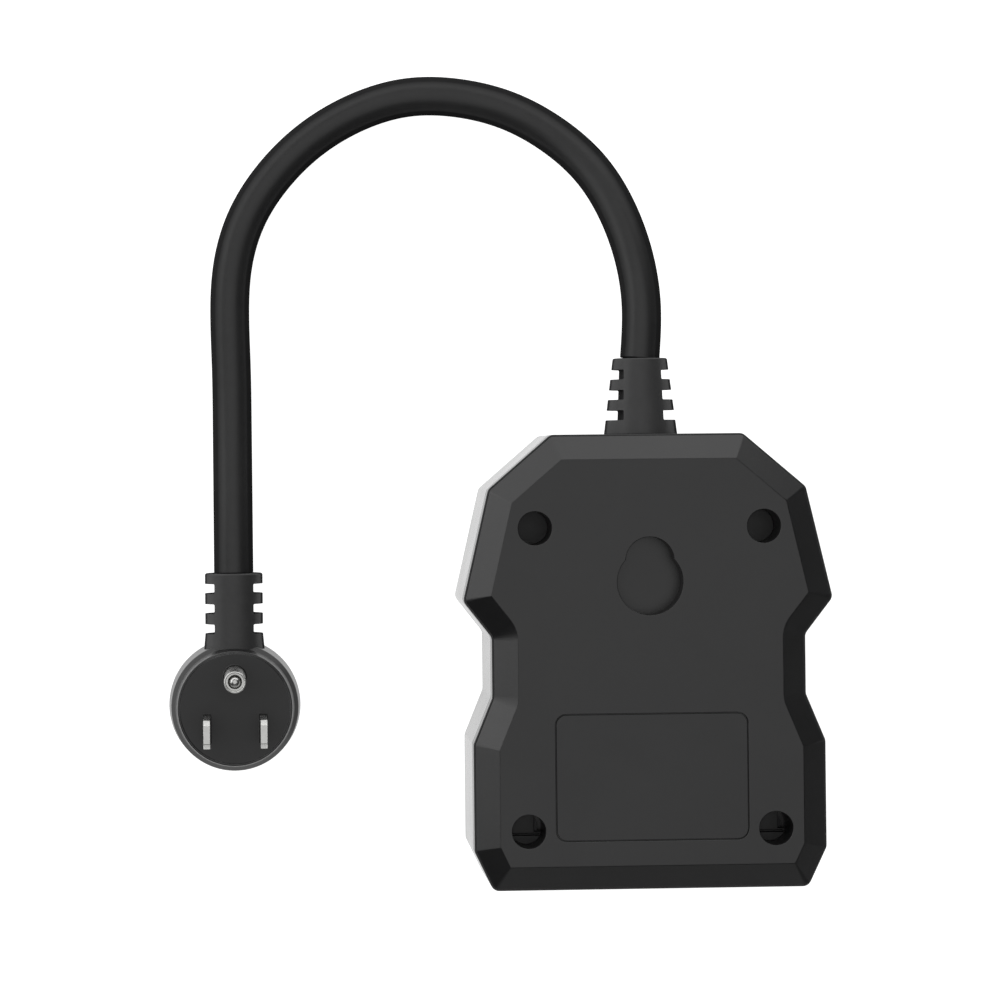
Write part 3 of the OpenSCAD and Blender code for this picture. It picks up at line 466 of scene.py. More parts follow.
# The outline of a rounded rectangle, moved out by a distance.
def plateRing(width, height, radius, grow, steps=6):
    w, h, r = width / 2 + grow, height / 2 + grow, max(radius + grow, leastCorner)
    corners = [(w, -h, r), (w, h, r), (-w, h, r), (-w, -h, r)]
    return roundedPath(corners, steps)


# A rounded plate whose edge follows a path of (grow, height) points.
def platePiece(name, width, height, radius, path, place=(0, 0)):
    bm = bmesh.new()
    loft(bm, [[(p.x, p.y, level) for p in plateRing(width, height, radius, grow)] for grow, level in path])
    return makePiece(name, bm, place)


def applyShape(piece):
    shaped = bpy.data.meshes.new_from_object(piece.evaluated_get(bpy.context.evaluated_depsgraph_get()))
    piece.modifiers.clear()
    old = piece.data
    piece.data = shaped
    bpy.data.meshes.remove(old)


def combine(piece, others, how):
    for other in others:
        step = piece.modifiers.new("combine", "BOOLEAN")
        step.operation = how
        step.solver = "EXACT"
        step.object = other
        applyShape(piece)
        bpy.data.objects.remove(other)
    return piece


def fuse(piece, *others):
    return combine(piece, others, "UNION")


def carve(piece, *others):
    return combine(piece, others, "DIFFERENCE")


# Smooth shading that keeps the large flats flat.
def shade(piece, angle=32):
    piece.data.shade_smooth()
    piece.data.set_sharp_from_angle(angle=math.radians(angle))
    weighted = piece.modifiers.new("normals", "WEIGHTED_NORMAL")
    weighted.keep_sharp = True
    applyShape(piece)


# The last step of a piece: metres, shading, its finish, its body and the nodes it stands for.
def settle(piece, body, slotName, nodes, angle=32):
    bm = bmesh.new()
    bm.from_mesh(piece.data)
    bmesh.ops.remove_doubles(bm, verts=bm.verts, dist=weldGap)
    bmesh.ops.dissolve_degenerate(bm, edges=bm.edges, dist=weldGap)
    bm.to_mesh(piece.data)
    bm.free()
    piece.data.transform(Matrix.Scale(mm, 4))
    shade(piece, angle)
    piece.data.materials.clear()
    piece.data.materials.append(materialOf[slotName])
    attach(piece, body)
    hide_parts(*nodes)
    return piece


bodyOf = {node: body for body, members in frame["record"]["behaviour"]["bodies"].items() for node in members}
slotOf = {part["node"]: part["material_slot"] for part in frame["record"]["subparts"]}
alongY = Matrix.Rotation(math.radians(-90), 4, "X")     # turns an upright axis to +Y
alongX = Matrix.Rotation(math.radians(90), 4, "Y")      # turns an upright axis to +X
weldGap = 0.0005                                        # points nearer than this become one
leastCorner = 0.05                                      # a plate's corners never get sharper
overlap = 0.3                                           # how far fused shapes run into each other
past = 1                                                # how far a cutter passes the face it opens


# The cord leaves the gland, falls to the surface, arches over and runs to the plug.
cord = {
    "radius": 4.5,
    "steps": 8,                                         # points along each stretch
    "stiffness": "stiff",
    "route": [
        (0, 68, 22), (1, 80, 21.5), (-0.5, 91.5, 19.5), (-4, 102.5, 16.5), (-9.5, 112.5, 13),
        (-18, 120.5, 9), (-28, 126.5, 6.5), (-39.5, 129.5, 5), (-51.5, 130, 4.5), (-63, 126.5, 4.5),
        (-73.5, 120.5, 4.5), (-82, 112.5, 4.5), (-89, 102.5, 4.5), (-92.5, 91, 4.5), (-93, 79, 4.5),
        (-92.5, 67, 4.5), (-92.5, 55, 5), (-92.5, 43.5, 6.5), (-92.5, 31.5, 8.5), (-92.5, 20, 9),
    ],
}


# The same smooth curve through the route as the CAD cord's.
def smoothRoute(route, steps):
    points = [Vector(p) for p in route]
    points = [2 * points[0] - points[1]] + points + [2 * points[-1] - points[-2]]
    smooth = []
    for i in range((len(route) - 1) * steps + 1):
        k = min(i // steps, len(route) - 2)
        t = i / steps - k
        a, b, c, d = points[k:k + 4]
        smooth.append((a * (1 - t) ** 3 + b * (3 * t ** 3 - 6 * t * t + 4)
                       + c * (3 * t - 3 * t ** 3 + 3 * t * t + 1) + d * t ** 3) / 6)
    return smooth


def makeCord(cord):
    points = [p * mm for p in smoothRoute(cord["route"], cord["steps"])]
    curve = bpy.data.curves.new("cord_jacket", "CURVE")
    curve.dimensions = "3D"
    curve.bevel_depth = cord["radius"] * mm
    curve.bevel_resolution = 8
    curve.use_fill_caps = True
    spline = curve.splines.new("POLY")
    spline.points.add(len(points) - 1)
    for place, p in zip(spline.points, points):
        place.co = (p.x, p.y, p.z, 1.0)
    spline.use_smooth = True
    curve.materials.append(materialOf["cord_jacket"])
    jacket = bpy.data.objects.new("cord_jacket", curve)
    scene.collection.objects.link(jacket)
    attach(jacket, "housing")
    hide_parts("cord")
    return jacket, points


cordJacket, cordPoints = makeCord(cord)


# Strain reliefs: tapered sleeves whose ribs are parted by slots from both sides.
gland = {
    "place": (0, 50.8, 22),
    "length": 17.2, "baseRadius": 8.3, "topRadius": 6.15,
    "neckRadius": 6.0, "neckLength": 2.6, "flangeRadius": 7.6, "flangeLength": 1.5,
    "ribs": 3, "ribWidth": 2.4, "gapWidth": 2.2, "ribInset": 0.2, "spineBase": 4.6, "spineTop": 4.15,
    "edge": 0.25, "baseEdge": 0.15, "topEdge": 0.45,
}
plugRelief = {
    "place": (-92.5, -10.4, 9),
    "start": 10.0, "length": 30.4, "baseRadius": 7.2, "topRadius": 6.6,
    "ribs": 3, "ribWidth": 2.4, "gapWidth": 2.2, "spine": 4.45,
    "edge": 0.25, "topEdge": 0.45,
}
slotReach = 12                                          # past the widest sleeve
rimWidth = 0.12                                         # width of the ribs' soft edges
rimWeld = 0.002                                         # points nearer than this become one first
flatAngle = 1.5                                         # faces nearer to one plane than this are joined


# A wedge-shaped slot cutter on one side: its inner wall leans with the spine.
def slotCutter(side, low, high, innerLow, innerHigh, edge):
    bm = bmesh.new()
    outline = roundedPath([
        (side * innerLow, low, edge), (side * innerHigh, high, edge), (side * slotReach, high),
        (side * slotReach, low)], arcSteps=3)
    loft(bm, [[(p.x, level, p.y) for p in outline] for level in (-slotReach, slotReach)])
    return makePiece("cutter", bm)


def cutRibs(piece, spec, first, spineAt):
    for i in range(spec["ribs"]):
        low = first + i * (spec["ribWidth"] + spec["gapWidth"])
        high = low + spec["gapWidth"]
        for side in (-1, 1):
            carve(piece, slotCutter(side, low, high, spineAt(low), spineAt(high), spec["edge"]))


# Rounds every rim sharper than an angle.
def softenRims(piece, width, angle=40):
    bm = bmesh.new()
    bm.from_mesh(piece.data)
    bmesh.ops.remove_doubles(bm, verts=bm.verts, dist=rimWeld)
    bmesh.ops.dissolve_limit(bm, angle_limit=math.radians(flatAngle), verts=bm.verts, edges=bm.edges)
    rims = [e for e in bm.edges if len(e.link_faces) == 2 and e.calc_face_angle(0) > math.radians(angle)]
    bmesh.ops.bevel(bm, geom=rims, offset=width, segments=2, profile=0.5, affect="EDGES", clamp_overlap=True)
    bm.to_mesh(piece.data)
    bm.free()


def placeAlongY(piece, place):
    piece.data.transform(alongY)
    piece.data.transform(Matrix.Translation(place))


def makeGland(spec):
    length, edge = spec["length"], spec["edge"]
    inner = -spec["neckLength"]
    path = roundedPath([
        (0, inner - spec["flangeLength"]), (spec["flangeRadius"], inner - spec["flangeLength"], edge),
        (spec["flangeRadius"], inner), (spec["neckRadius"], inner), (spec["neckRadius"], 0),
        (spec["baseRadius"], 0, spec["baseEdge"]), (spec["topRadius"], length, spec["topEdge"]), (0, length)])
    piece = turnedPiece("gland_sleeve", path, steps=96)
    taper = (spec["spineTop"] - spec["spineBase"]) / length
    first = length - spec["ribs"] * (spec["ribWidth"] + spec["gapWidth"]) - spec["ribInset"]
    cutRibs(piece, spec, first, lambda h: spec["spineBase"] + taper * h)
    softenRims(piece, rimWidth)
    placeAlongY(piece, spec["place"])
    return settle(piece, "housing", "black_rubber", ["cord_gland"])


def makePlugRelief(spec):
    length = spec["length"]
    ribbed = spec["ribs"] * (spec["ribWidth"] + spec["gapWidth"])
    path = roundedPath([
        (0, spec["start"]), (spec["baseRadius"], spec["start"]), (spec["topRadius"], length - ribbed),
        (spec["topRadius"], length, spec["topEdge"]), (0, length)])
    piece = turnedPiece("plug_relief_sleeve", path, steps=96)
    cutRibs(piece, spec, length - ribbed, lambda h: spec["spine"])
    softenRims(piece, rimWidth)
    placeAlongY(piece, spec["place"])
    return settle(piece, "housing", "black_rubber", ["plug_strain_relief"])


glandSleeve = makeGland(gland)
reliefSleeve = makePlugRelief(plugRelief)
print("strain reliefs ready")


# The plug: a round moulded back, a face insert, two blades and a ground pin.
plug = {
    "middle": (-92.5, -10.4),
    "radius": 15.1, "faceRadius": 13.0, "height": 19.0, "backRound": 3.2, "sideStart": 0.1,
    "side": [(15.1, 4.6, 1.0), (14.5, 13.8, 0.8), (13.45, 15.2, 0.8)],
    "lipWidth": 0.45, "lipRound": 0.25, "insertDepth": 0.8, "insertGap": 0.05, "insertEdge": 0.12,
    "bladePitch": 12.7, "bladeWidth": 6.35, "bladeThickness": 1.5, "bladeLength": 17.1, "bladeRoot": 6.0,
    "bladeTip": 1.15, "bladeEdge": 0.12, "bladeY": -15.0,
    "pinY": -3.1, "pinRadius": 2.4, "pinRootRadius": 2.0, "pinLength": 21.4, "pinWall": 0.4,
    "pinMouth": 2.0, "pinRootEdge": 0.2, "pinEdge": 0.2, "pinInnerEdge": 0.18, "coreRadius": 1.6,
    "slotMargin": 0.15, "slotDepth": 2.0, "slotCorner": 0.2, "slotRim": 0.1,
}


def makePlugBody(plug):
    r, f, h, b = plug["radius"], plug["faceRadius"], plug["height"], plug["backRound"]
    back = roundedPath([(0, 0), (r, 0, b), (r, b + plug["sideStart"])], arcSteps=8)[:-1]
    insert = f - plug["lipWidth"]
    side = roundedPath([back[-1]] + plug["side"] + [(f, h, plug["lipRound"]), (insert, h)], arcSteps=6)[1:]
    floor = h - plug["insertDepth"]
    path = back + side + [Vector((insert, floor)), Vector((0, floor))]
    return settle(turnedPiece("plug_shell", path, plug["middle"], steps=128),
                  "housing", "plug_vinyl", ["plug_body"])


def makePlugFace(plug):
    h, x = plug["height"], plug["middle"][0]
    low, edge = h - plug["insertDepth"], plug["faceRadius"] - plug["lipWidth"] - plug["insertGap"]
    path = roundedPath([(0, low), (edge, low), (edge, h, plug["insertEdge"]), (0, h)])
    piece = turnedPiece("plug_face_insert", path, plug["middle"], steps=128)
    grow, rim, floor = plug["slotMargin"], plug["slotRim"], h - plug["slotDepth"]
    for side in (-1, 1):
        carve(piece, platePiece(
            "cutter", plug["bladeThickness"] + 2 * grow, plug["bladeWidth"] + 2 * grow, plug["slotCorner"],
            [(0, floor), (0, h - rim), (rim, h), (rim, h + past)],
            (x + side * plug["bladePitch"] / 2, plug["bladeY"])))
    hole, flare = plug["pinRadius"] + grow, plug["pinRadius"] + grow + plug["insertEdge"]
    path = [(0, floor), (hole, floor), (hole, h - plug["insertEdge"]), (flare, h),
            (flare, h + past), (0, h + past)]
    carve(piece, turnedPiece("cutter", path, (x, plug["pinY"])))
    return settle(piece, "housing", "plug_vinyl", ["plug_face"])


def makeBlade(plug, name, node, side):
    w, tip = plug["bladeWidth"] / 2, plug["height"] + plug["bladeLength"]
    low, cut, t = plug["height"] - plug["bladeRoot"], plug["bladeTip"], plug["bladeThickness"] / 2
    outline = [(-w, low), (w, low), (w, tip - cut), (w - cut, tip), (cut - w, tip), (-w, tip - cut)]
    bm = bmesh.new()
    loft(bm, [[(level, y, z) for y, z in outline] for level in (-t, t)])
    bmesh.ops.recalc_face_normals(bm, faces=bm.faces)
    bmesh.ops.bevel(bm, geom=bm.edges[:], offset=plug["bladeEdge"], segments=2, profile=0.5, affect="EDGES")
    place = (plug["middle"][0] + side * plug["bladePitch"] / 2, plug["bladeY"])
    return settle(makePiece(name, bm, place), "housing", "plated_brass", [node])


def makeGroundPin(plug):
    r, root, wall = plug["pinRadius"], plug["pinRootRadius"], plug["pinWall"]
    foot, tip = plug["height"] - plug["bladeRoot"], plug["height"] + plug["pinLength"]
    shoulder, floor, core = plug["height"] - plug["insertDepth"], tip - plug["pinMouth"], plug["coreRadius"]
    dome = [Vector((core * math.cos(a), tip - core + core * math.sin(a))) for a in quarter(8)[:-1]]
    path = roundedPath([
        (0, foot), (root, foot, plug["pinRootEdge"]), (root, shoulder), (r, shoulder),
        (r, tip, plug["pinEdge"]), (r - wall, tip, plug["pinInnerEdge"]), (r - wall, floor), (core, floor)],
        arcSteps=4)
    pin = turnedPiece("ground_pin_sleeve", path + dome + [Vector((0, tip))], (plug["middle"][0], plug["pinY"]),
                      steps=64)
    return settle(pin, "housing", "plated_brass", ["ground_pin"])


plugPieces = [
    makePlugBody(plug), makePlugFace(plug),
    makeBlade(plug, "line_blade_strip", "line_blade", -1),
    makeBlade(plug, "neutral_blade_strip", "neutral_blade", 1),
    makeGroundPin(plug),
]
print("plug ready")


# The housing: a front shell and a rear cover that share one outline.
housing = {
    "rightSide": [
        (35.3, -50.8), (39.5, -42.0), (39.5, -18.1), (35.2, -7.7),
        (35.2, 5.7), (41.5, 13.8), (35.7, 38.7), (21.6, 50.8)],
    "cornerRadius": 2.0, "cornerLeast": 0.3, "cornerSteps": 5,
    "depth": 37.5, "chamferWidth": 5.6, "chamferDepth": 4.0, "seam": 29.0, "wall": 2.6,
    "frontRound": 3.0, "frontRing": 6.0, "seamRound": 0.25, "chamferRound": 0.5,
    "footRound": 0.06, "footStep": 0.05, "coverShoulder": 0.5, "topRing": 0.6,
    "gasketNear": 0.8, "gasketFar": 1.8, "gasketDepth": 1.2,
    "grooveStart": 0.14, "grooveWidth": 0.28, "grooveDepth": 0.4,    # shadow line round the chamfer's foot
    "wells": [(25.6, 30.0), (-25.6, 30.0), (27.6, -37.3), (-27.6, -37.3)],
    "wellRadius": 3.75, "wellDepth": 14.0, "wellRim": 0.15, "bossRadius": 5.15, "bossFoot": 21.5,
    "screwHole": 1.6, "screwCore": 1.4, "screwCoreDepth": 8.0, "postRadius": 3.6,
    "hangerMiddle": (0, 17.8), "hangerRadius": 7.35, "hangerNeck": 5.45, "hangerStep": 4.6, "hangerDepth": 6.0,
    "hangerRim": 0.15, "hangerWall": 2.0,
    "labelMiddle": (0, -25.5), "labelWidth": 42.6, "labelHeight": 27.8, "labelRadius": 2.2,
    "labelThickness": 0.3, "labelGap": 0.25, "labelTrench": 0.9, "labelRim": 0.1, "labelEdge": 0.03,
    "glandZ": 22.0, "glandNeck": 6.0, "glandMargin": 0.5, "halfHeight": 50.8,
    "cordBore": 4.5, "cordBoreStart": 38.5, "cordBoreLength": 6.0, "clampRib": ((-11, 39), (11, 44)),
    "pocketWidth": 29.0, "pocketHeight": 38.8, "pocketMiddleY": -20.6, "pocketDepth": 6.0, "pocketRadius": 3.0,
    "pocketRim": 0.5, "pocketWall": 2.0,
    "outletX": 16.3, "outletY": -23.0, "outletRadius": 13.5,
    "notchRadius": 5.0, "notchY": -41.0, "notchDepth": 2.5,
    "hingeY": -4.6, "hingeZ": 2.6, "hingePinRadius": 1.0, "hingeBite": 1.2,
    "buttonMiddle": (0, 26), "ringRadius": 8.6, "dishRadius": 11.0, "dishDepth": 0.6,
}


# The housing's outline moved in by a distance, with rounded corners.
def outlineRing(inset):
    right = [Vector(p) for p in housing["rightSide"]]
    corners = right + [Vector((-p.x, p.y)) for p in reversed(right)]
    count = len(corners)
    ahead = [(corners[(i + 1) % count] - corners[i]).normalized() for i in range(count)]
    inward = [Vector((-u.y, u.x)) for u in ahead]
    moved = []
    for i in range(count):
        p = corners[i] + inward[i - 1] * inset
        q = corners[i] + inward[i] * inset
        moved.append(p + ahead[i - 1] * (cross2d(q - p, ahead[i]) / cross2d(ahead[i - 1], ahead[i])))
    path = []
    for i, corner in enumerate(moved):
        convex = cross2d(ahead[i - 1], ahead[i]) > 0
        radius = housing["cornerRadius"] + (-inset if convex else inset)
        radius = max(radius, housing["cornerLeast"]) if convex else radius
        path.append((corner.x, corner.y, radius))
    return roundedPath(path, housing["cornerSteps"])


def outlinePiece(name, levels):
    bm = bmesh.new()
    loft(bm, [[(p.x, p.y, level) for p in outlineRing(inset)] for inset, level in levels])
    return makePiece(name, bm)


# A round cutter whose mouth flares to round the rim it leaves, up or down.
def rimCutter(radius, floor, face, rim, place, steps=72):
    out = 1 if face > floor else -1
    arc = [(radius + rim - rim * math.cos(a), face - out * rim + out * rim * math.sin(a)) for a in quarter(6)]
    path = [(0, floor), (radius, floor)] + arc + [(radius + rim, face + out), (0, face + out)]
    return turnedPiece("cutter", path, place, steps=steps)


def glandBore():
    h = housing
    reach = h["wall"] + past
    place = (0, h["halfHeight"] - reach + h["glandMargin"], h["glandZ"])
    return rod(h["glandNeck"], 0, reach, place, alongY, steps=72)


def glandSlot(high):
    h = housing
    return boxPiece("cutter", (-h["glandNeck"], h["halfHeight"] - h["wall"] - h["glandMargin"], h["glandZ"]),
                    (h["glandNeck"], h["halfHeight"] + h["glandMargin"], high))


def makeRearCover():
    h = housing
    top, seam, wall = h["depth"], h["seam"], h["wall"]
    edge, ceiling = top - h["chamferDepth"], top - wall
    slope = h["chamferDepth"] / h["chamferWidth"]
    near, far, grooveFloor = h["grooveStart"], h["grooveStart"] + h["grooveWidth"], edge - h["grooveDepth"]
    inside, foot = edge - h["coverShoulder"], h["footRound"]
    levels = roundedPath([
        (h["chamferWidth"], ceiling), (h["chamferWidth"], inside), (wall, inside), (wall, seam),
        (0, seam, h["seamRound"]), (0, edge - h["footStep"], foot), (near, edge + slope * near),
        (near, grooveFloor), (far, grooveFloor), (far, edge + slope * far, foot),
        (h["chamferWidth"], top, h["chamferRound"]), (h["chamferWidth"] + h["topRing"], top)], arcSteps=4)
    cover = outlinePiece("rear_cover_shell", levels)
    fuse(cover, *[rod(h["bossRadius"], h["bossFoot"], ceiling + overlap, p) for p in h["wells"]])
    x, y = h["hangerMiddle"]
    hanger = [((x, y), h["hangerRadius"]), ((x, y + h["hangerStep"]), h["hangerNeck"])]
    hangerFloor = top - h["hangerDepth"]
    fuse(cover, *[rod(r + wall, hangerFloor - h["hangerWall"], ceiling + overlap, p) for p, r in hanger])
    tongue = boxPiece("tongue", (-h["glandNeck"], h["halfHeight"] - wall, h["glandZ"]),
                      (h["glandNeck"], h["halfHeight"], seam + overlap))
    carve(tongue, glandBore())
    fuse(cover, tongue)
    wellFloor = top - h["wellDepth"]
    for p in h["wells"]:
        carve(cover, rimCutter(h["wellRadius"], wellFloor, top, h["wellRim"], p),
              rod(h["screwHole"], h["bossFoot"] - past, wellFloor + past / 2, p, steps=32))
    carve(cover, *[rimCutter(r, hangerFloor, top, h["hangerRim"], p, steps=96) for p, r in hanger])
    gap, rim, t = h["labelGap"], h["labelRim"], h["labelThickness"]
    label, place = (h["labelWidth"], h["labelHeight"], h["labelRadius"]), h["labelMiddle"]
    trench = platePiece("cutter", *label, [(gap, top - h["labelTrench"]), (gap, top - t / 2)], place)
    carve(trench, platePiece("cutter", *label, [(0, top - 2 * past), (0, top + past)], place))
    seat = [(gap, top - t), (gap, top - rim), (gap + rim, top), (gap + rim, top + past)]
    carve(cover, platePiece("cutter", *label, seat, place), trench)
    return settle(cover, "housing", "cover_plastic", ["rear_cover"], angle=30)


def makeLabel():
    h = housing
    top, rim, edge = h["depth"], h["labelRim"], h["labelEdge"]
    label = platePiece("label_panel", h["labelWidth"], h["labelHeight"], h["labelRadius"], [
        (0, top - h["labelThickness"]), (0, top - rim), (-edge, top - edge), (-rim, top)], h["labelMiddle"])
    return settle(label, "housing", "label_plastic", ["rating_label"])


def makeFrontShell():
    h = housing
    wall, seam, near, far = h["wall"], h["seam"], h["gasketNear"], h["gasketFar"]
    levels = roundedPath([
        (h["frontRing"], 0), (0, 0, h["frontRound"]), (0, seam, h["seamRound"]), (near, seam),
        (near, seam - h["gasketDepth"]), (far, seam - h["gasketDepth"]), (far, seam), (wall, seam),
        (wall, wall)], arcSteps=7)
    shell = outlinePiece("front_shell_case", levels)
    pocket = (h["pocketWidth"], h["pocketHeight"], h["pocketRadius"])
    inner, low, rim = h["pocketDepth"] + h["pocketWall"], wall - overlap, h["pocketRim"]
    for side in (-1, 1):
        fuse(shell, platePiece("wall", *pocket, [(h["pocketWall"], low), (h["pocketWall"], inner)],
                               (side * h["outletX"], h["pocketMiddleY"])))
    fuse(shell, *[rod(h["postRadius"], low, h["bossFoot"], p) for p in h["wells"]])
    ribStart, ribEnd = h["clampRib"]
    fuse(shell, boxPiece("rib", ribStart + (low,), ribEnd + (h["glandZ"],)))
    flare = [(rim - rim * math.cos(a), rim - rim * math.sin(a)) for a in quarter(5)]
    mouth = [(0, h["pocketDepth"])] + flare + [(rim, -past)]
    for side in (-1, 1):
        x = side * h["outletX"]
        carve(shell, platePiece("cutter", *pocket, mouth, (x, h["pocketMiddleY"])),
              rod(h["outletRadius"], past, inner + past, (x, h["outletY"])),
              rimCutter(h["notchRadius"], h["notchDepth"], 0, rim, (x, h["notchY"])))
    reach = h["outletX"] + h["pocketWidth"] / 2 + h["hingeBite"]
    carve(shell, rod(h["hingePinRadius"], -reach, reach, (0, h["hingeY"], h["hingeZ"]), alongX, steps=32))
    carve(shell, *[rod(h["screwCore"], h["bossFoot"] - h["screwCoreDepth"], h["bossFoot"] + past, p, steps=32)
                   for p in h["wells"]])
    dish = [(0, wall + past), (h["ringRadius"], wall + past), (h["ringRadius"], h["dishDepth"]),
            (h["dishRadius"], 0), (h["dishRadius"], -past), (0, -past)]
    carve(shell, turnedPiece("cutter", dish, h["buttonMiddle"], steps=96))
    carve(shell, glandBore(), glandSlot(seam + past))
    place = (0, h["cordBoreStart"], h["glandZ"])
    carve(shell, rod(h["cordBore"], 0, h["cordBoreLength"], place, alongY, steps=72))
    return settle(shell, "housing", "shell_plastic", ["front_shell"], angle=30)


makeRearCover()
makeLabel()
makeFrontShell()
print("housing ready")


# The lids: rounded plates with a hinge barrel, a shallow ring and three grip ribs.
lid = {
    "gap": 0.3, "face": 0.5, "thickness": 2.0, "edge": 0.45, "backEdge": 0.2, "ring": 2.0,
    "barrelRadius": 2.1, "barrelWidth": 25.8, "barrelEdge": 0.25, "neckLength": 3.8, "neckBite": 0.4,
    "pinBore": 1.05, "pinReach": 20.0, "springGap": 8.0, "springMargin": 0.3,
    "trimReach": 20.0, "trimTop": 5.0, "trimBack": 8.0,
    "ringRadius": 9.5, "ringWidth": 0.9, "ringDepth": 0.35, "ringEdge": 0.2,
    "ribs": 3, "ribLength": 11.0, "ribWidth": 0.8, "ribHeight": 0.35, "ribPitch": 1.7, "ribsY": -38.0,
    "ribFoot": 0.5, "ribEdge": 0.18,
}


def makeLid(side, body):
    h, x = housing, side * housing["outletX"]
    face, back = lid["face"], lid["face"] + lid["thickness"]
    path = roundedPath([
        (-lid["ring"], face), (-lid["gap"], face, lid["edge"]), (-lid["gap"], back, lid["backEdge"]),
        (-lid["ring"], back)], arcSteps=4)
    plate = platePiece("lid_cover_" + body[4:], h["pocketWidth"], h["pocketHeight"], h["pocketRadius"], path,
                       (x, h["pocketMiddleY"]))
    neckY, half, hingeY = h["hingeY"] - lid["neckLength"], lid["barrelWidth"] / 2, h["hingeY"]
    carve(plate, boxPiece("cutter", (x - lid["trimReach"], neckY, -past),
                          (x + lid["trimReach"], lid["trimTop"], lid["trimBack"])))
    fuse(plate, boxPiece("neck", (x - half, neckY - lid["neckBite"], face), (x + half, hingeY, back)))
    r, edge = lid["barrelRadius"], lid["barrelEdge"]
    barrel = roundedPath([(0, -half), (r, -half, edge), (r, half, edge), (0, half)], arcSteps=3)
    fuse(plate, turnedPiece("barrel", barrel, (x, hingeY, h["hingeZ"]), alongX, steps=48))
    long, wide = lid["ribLength"] / 2, lid["ribWidth"] / 2
    for i in range(lid["ribs"]):
        y = lid["ribsY"] + i * lid["ribPitch"]
        fuse(plate, boxPiece("rib", (x - long, y - wide, face - lid["ribHeight"]),
                             (x + long, y + wide, face + lid["ribFoot"]), lid["ribEdge"]))
    near, far = lid["ringRadius"] - lid["ringWidth"] / 2, lid["ringRadius"] + lid["ringWidth"] / 2
    floor = face + lid["ringDepth"]
    groove = roundedPath([(near, face - past), (near, floor, lid["ringEdge"]), (far, floor, lid["ringEdge"]),
                          (far, face - past)], arcSteps=3)
    carve(plate, turnedPiece("cutter", groove, (x, h["outletY"]), steps=96, closed=True))
    reach = lid["pinReach"]
    carve(plate, rod(lid["pinBore"], -reach, reach, (x, hingeY, h["hingeZ"]), alongX, steps=32))
    carve(plate, boxPiece("cutter", (x - lid["springGap"] / 2, hingeY - r - lid["springMargin"], face - past),
                          (x + lid["springGap"] / 2, hingeY + r + past, lid["trimBack"])))
    return settle(plate, body, "lid_plastic", [body])


for side, body in ((-1, "lid_left"), (1, "lid_right")):
    makeLid(side, body)
print("lids ready")


# The power button and its light ring.
button = {
    "radius": 6.5, "face": 0.7, "edge": 0.8, "dish": 0.35, "dishSlope": (3.4, 0.12), "dishRadius": 5.2,
    "flangeRadius": 7.5, "flange": 4.0, "flangeThickness": 0.8, "flangeEdge": 0.15,
    "stemRadius": 1.8, "stemEnd": 6.85, "stemEdge": 0.2,
    "ringOuter": 8.6, "ringInner": 6.8, "ringFace": 0.6, "ringEdge": 0.3,
    "ringFlangeRadius": 9.6, "ringBack": 2.6, "ringFlange": 1.0,
    "markRadius": 2.4, "markWidth": 0.5, "markFloor": 0.55,
}


def makeButton():
    b = button
    face, flange, back, stem = b["face"], b["flange"], b["flange"] + b["flangeThickness"], b["stemRadius"]
    slopeRadius, slopeDepth = b["dishSlope"]
    path = roundedPath([
        (0, face + b["dish"]), (slopeRadius, face + slopeDepth), (b["dishRadius"], face),
        (b["radius"], face, b["edge"]), (b["radius"], flange), (b["flangeRadius"], flange, b["flangeEdge"]),
        (b["flangeRadius"], back), (stem, back), (stem, b["stemEnd"], b["stemEdge"]), (0, b["stemEnd"])],
        arcSteps=4)
    cap = turnedPiece("power_button_cap", path, housing["buttonMiddle"], steps=96)
    near, far = b["markRadius"] - b["markWidth"] / 2, b["markRadius"] + b["markWidth"] / 2
    floor = face + b["markFloor"]
    mark = [(near, face - past), (far, face - past), (far, floor), (near, floor)]
    carve(cap, turnedPiece("cutter", mark, housing["buttonMiddle"], steps=64, closed=True))
    return settle(cap, "button", "button_plastic", ["power_button"])


def makeLightRing():
    b = button
    inner, face, middle, back = b["ringInner"], b["ringFace"], b["ringBack"], b["ringBack"] + b["ringFlange"]
    path = roundedPath([
        (inner, face, b["ringEdge"]), (b["ringOuter"], face, b["ringEdge"]), (b["ringOuter"], middle),
        (b["ringFlangeRadius"], middle, b["flangeEdge"]), (b["ringFlangeRadius"], back, b["flangeEdge"]),
        (inner, back, b["flangeEdge"])], arcSteps=4)
    ring = turnedPiece("light_ring_diffuser", path, housing["buttonMiddle"], steps=96, closed=True)
    return settle(ring, "housing", "ring_plastic", ["light_ring"])


makeButton()
makeLightRing()
print("button ready")


# The remaining nodes: rounded copies of the CAD solids, with the width of their edges.
softEdges = {
    "screw_caps": 0.12, "case_screws": 0.15, "outlet_face_left": 0.2, "outlet_face_right": 0.2,
    "contact_carrier_left": 0.2, "contact_carrier_right": 0.2, "line_contact_left": 0.08,
    "line_contact_right": 0.08, "neutral_bus": 0.08, "ground_bus": 0.1, "lid_seal_left": 0.2,
    "lid_seal_right": 0.2, "lid_pin_left": 0.15, "lid_pin_right": 0.15, "switch_plunger": 0.15,
    "tact_switch": 0.15, "control_board": 0.1, "relay_left": 0.4, "relay_right": 0.4,
    "power_transformer": 0.3, "filter_capacitor": 0.5, "surge_varistor": 0.7, "radio_module": 0.15,
    "status_leds": 0.15, "inner_cord": 0.3, "cord_clamp": 0.15, "clamp_screws": 0.2, "housing_gasket": 0.1,
}
softAngle = 35                                          # edges sharper than this are rounded


def softenNode(node, width):
    mesh = frame["nodes"][node].data.copy()
    piece = bpy.data.objects.new(node + "_form", mesh)
    scene.collection.objects.link(piece)
    mesh.transform(Matrix.Scale(1 / mm, 4))
    softenRims(piece, width, softAngle)
    return settle(piece, bodyOf[node], slotOf[node], [node])


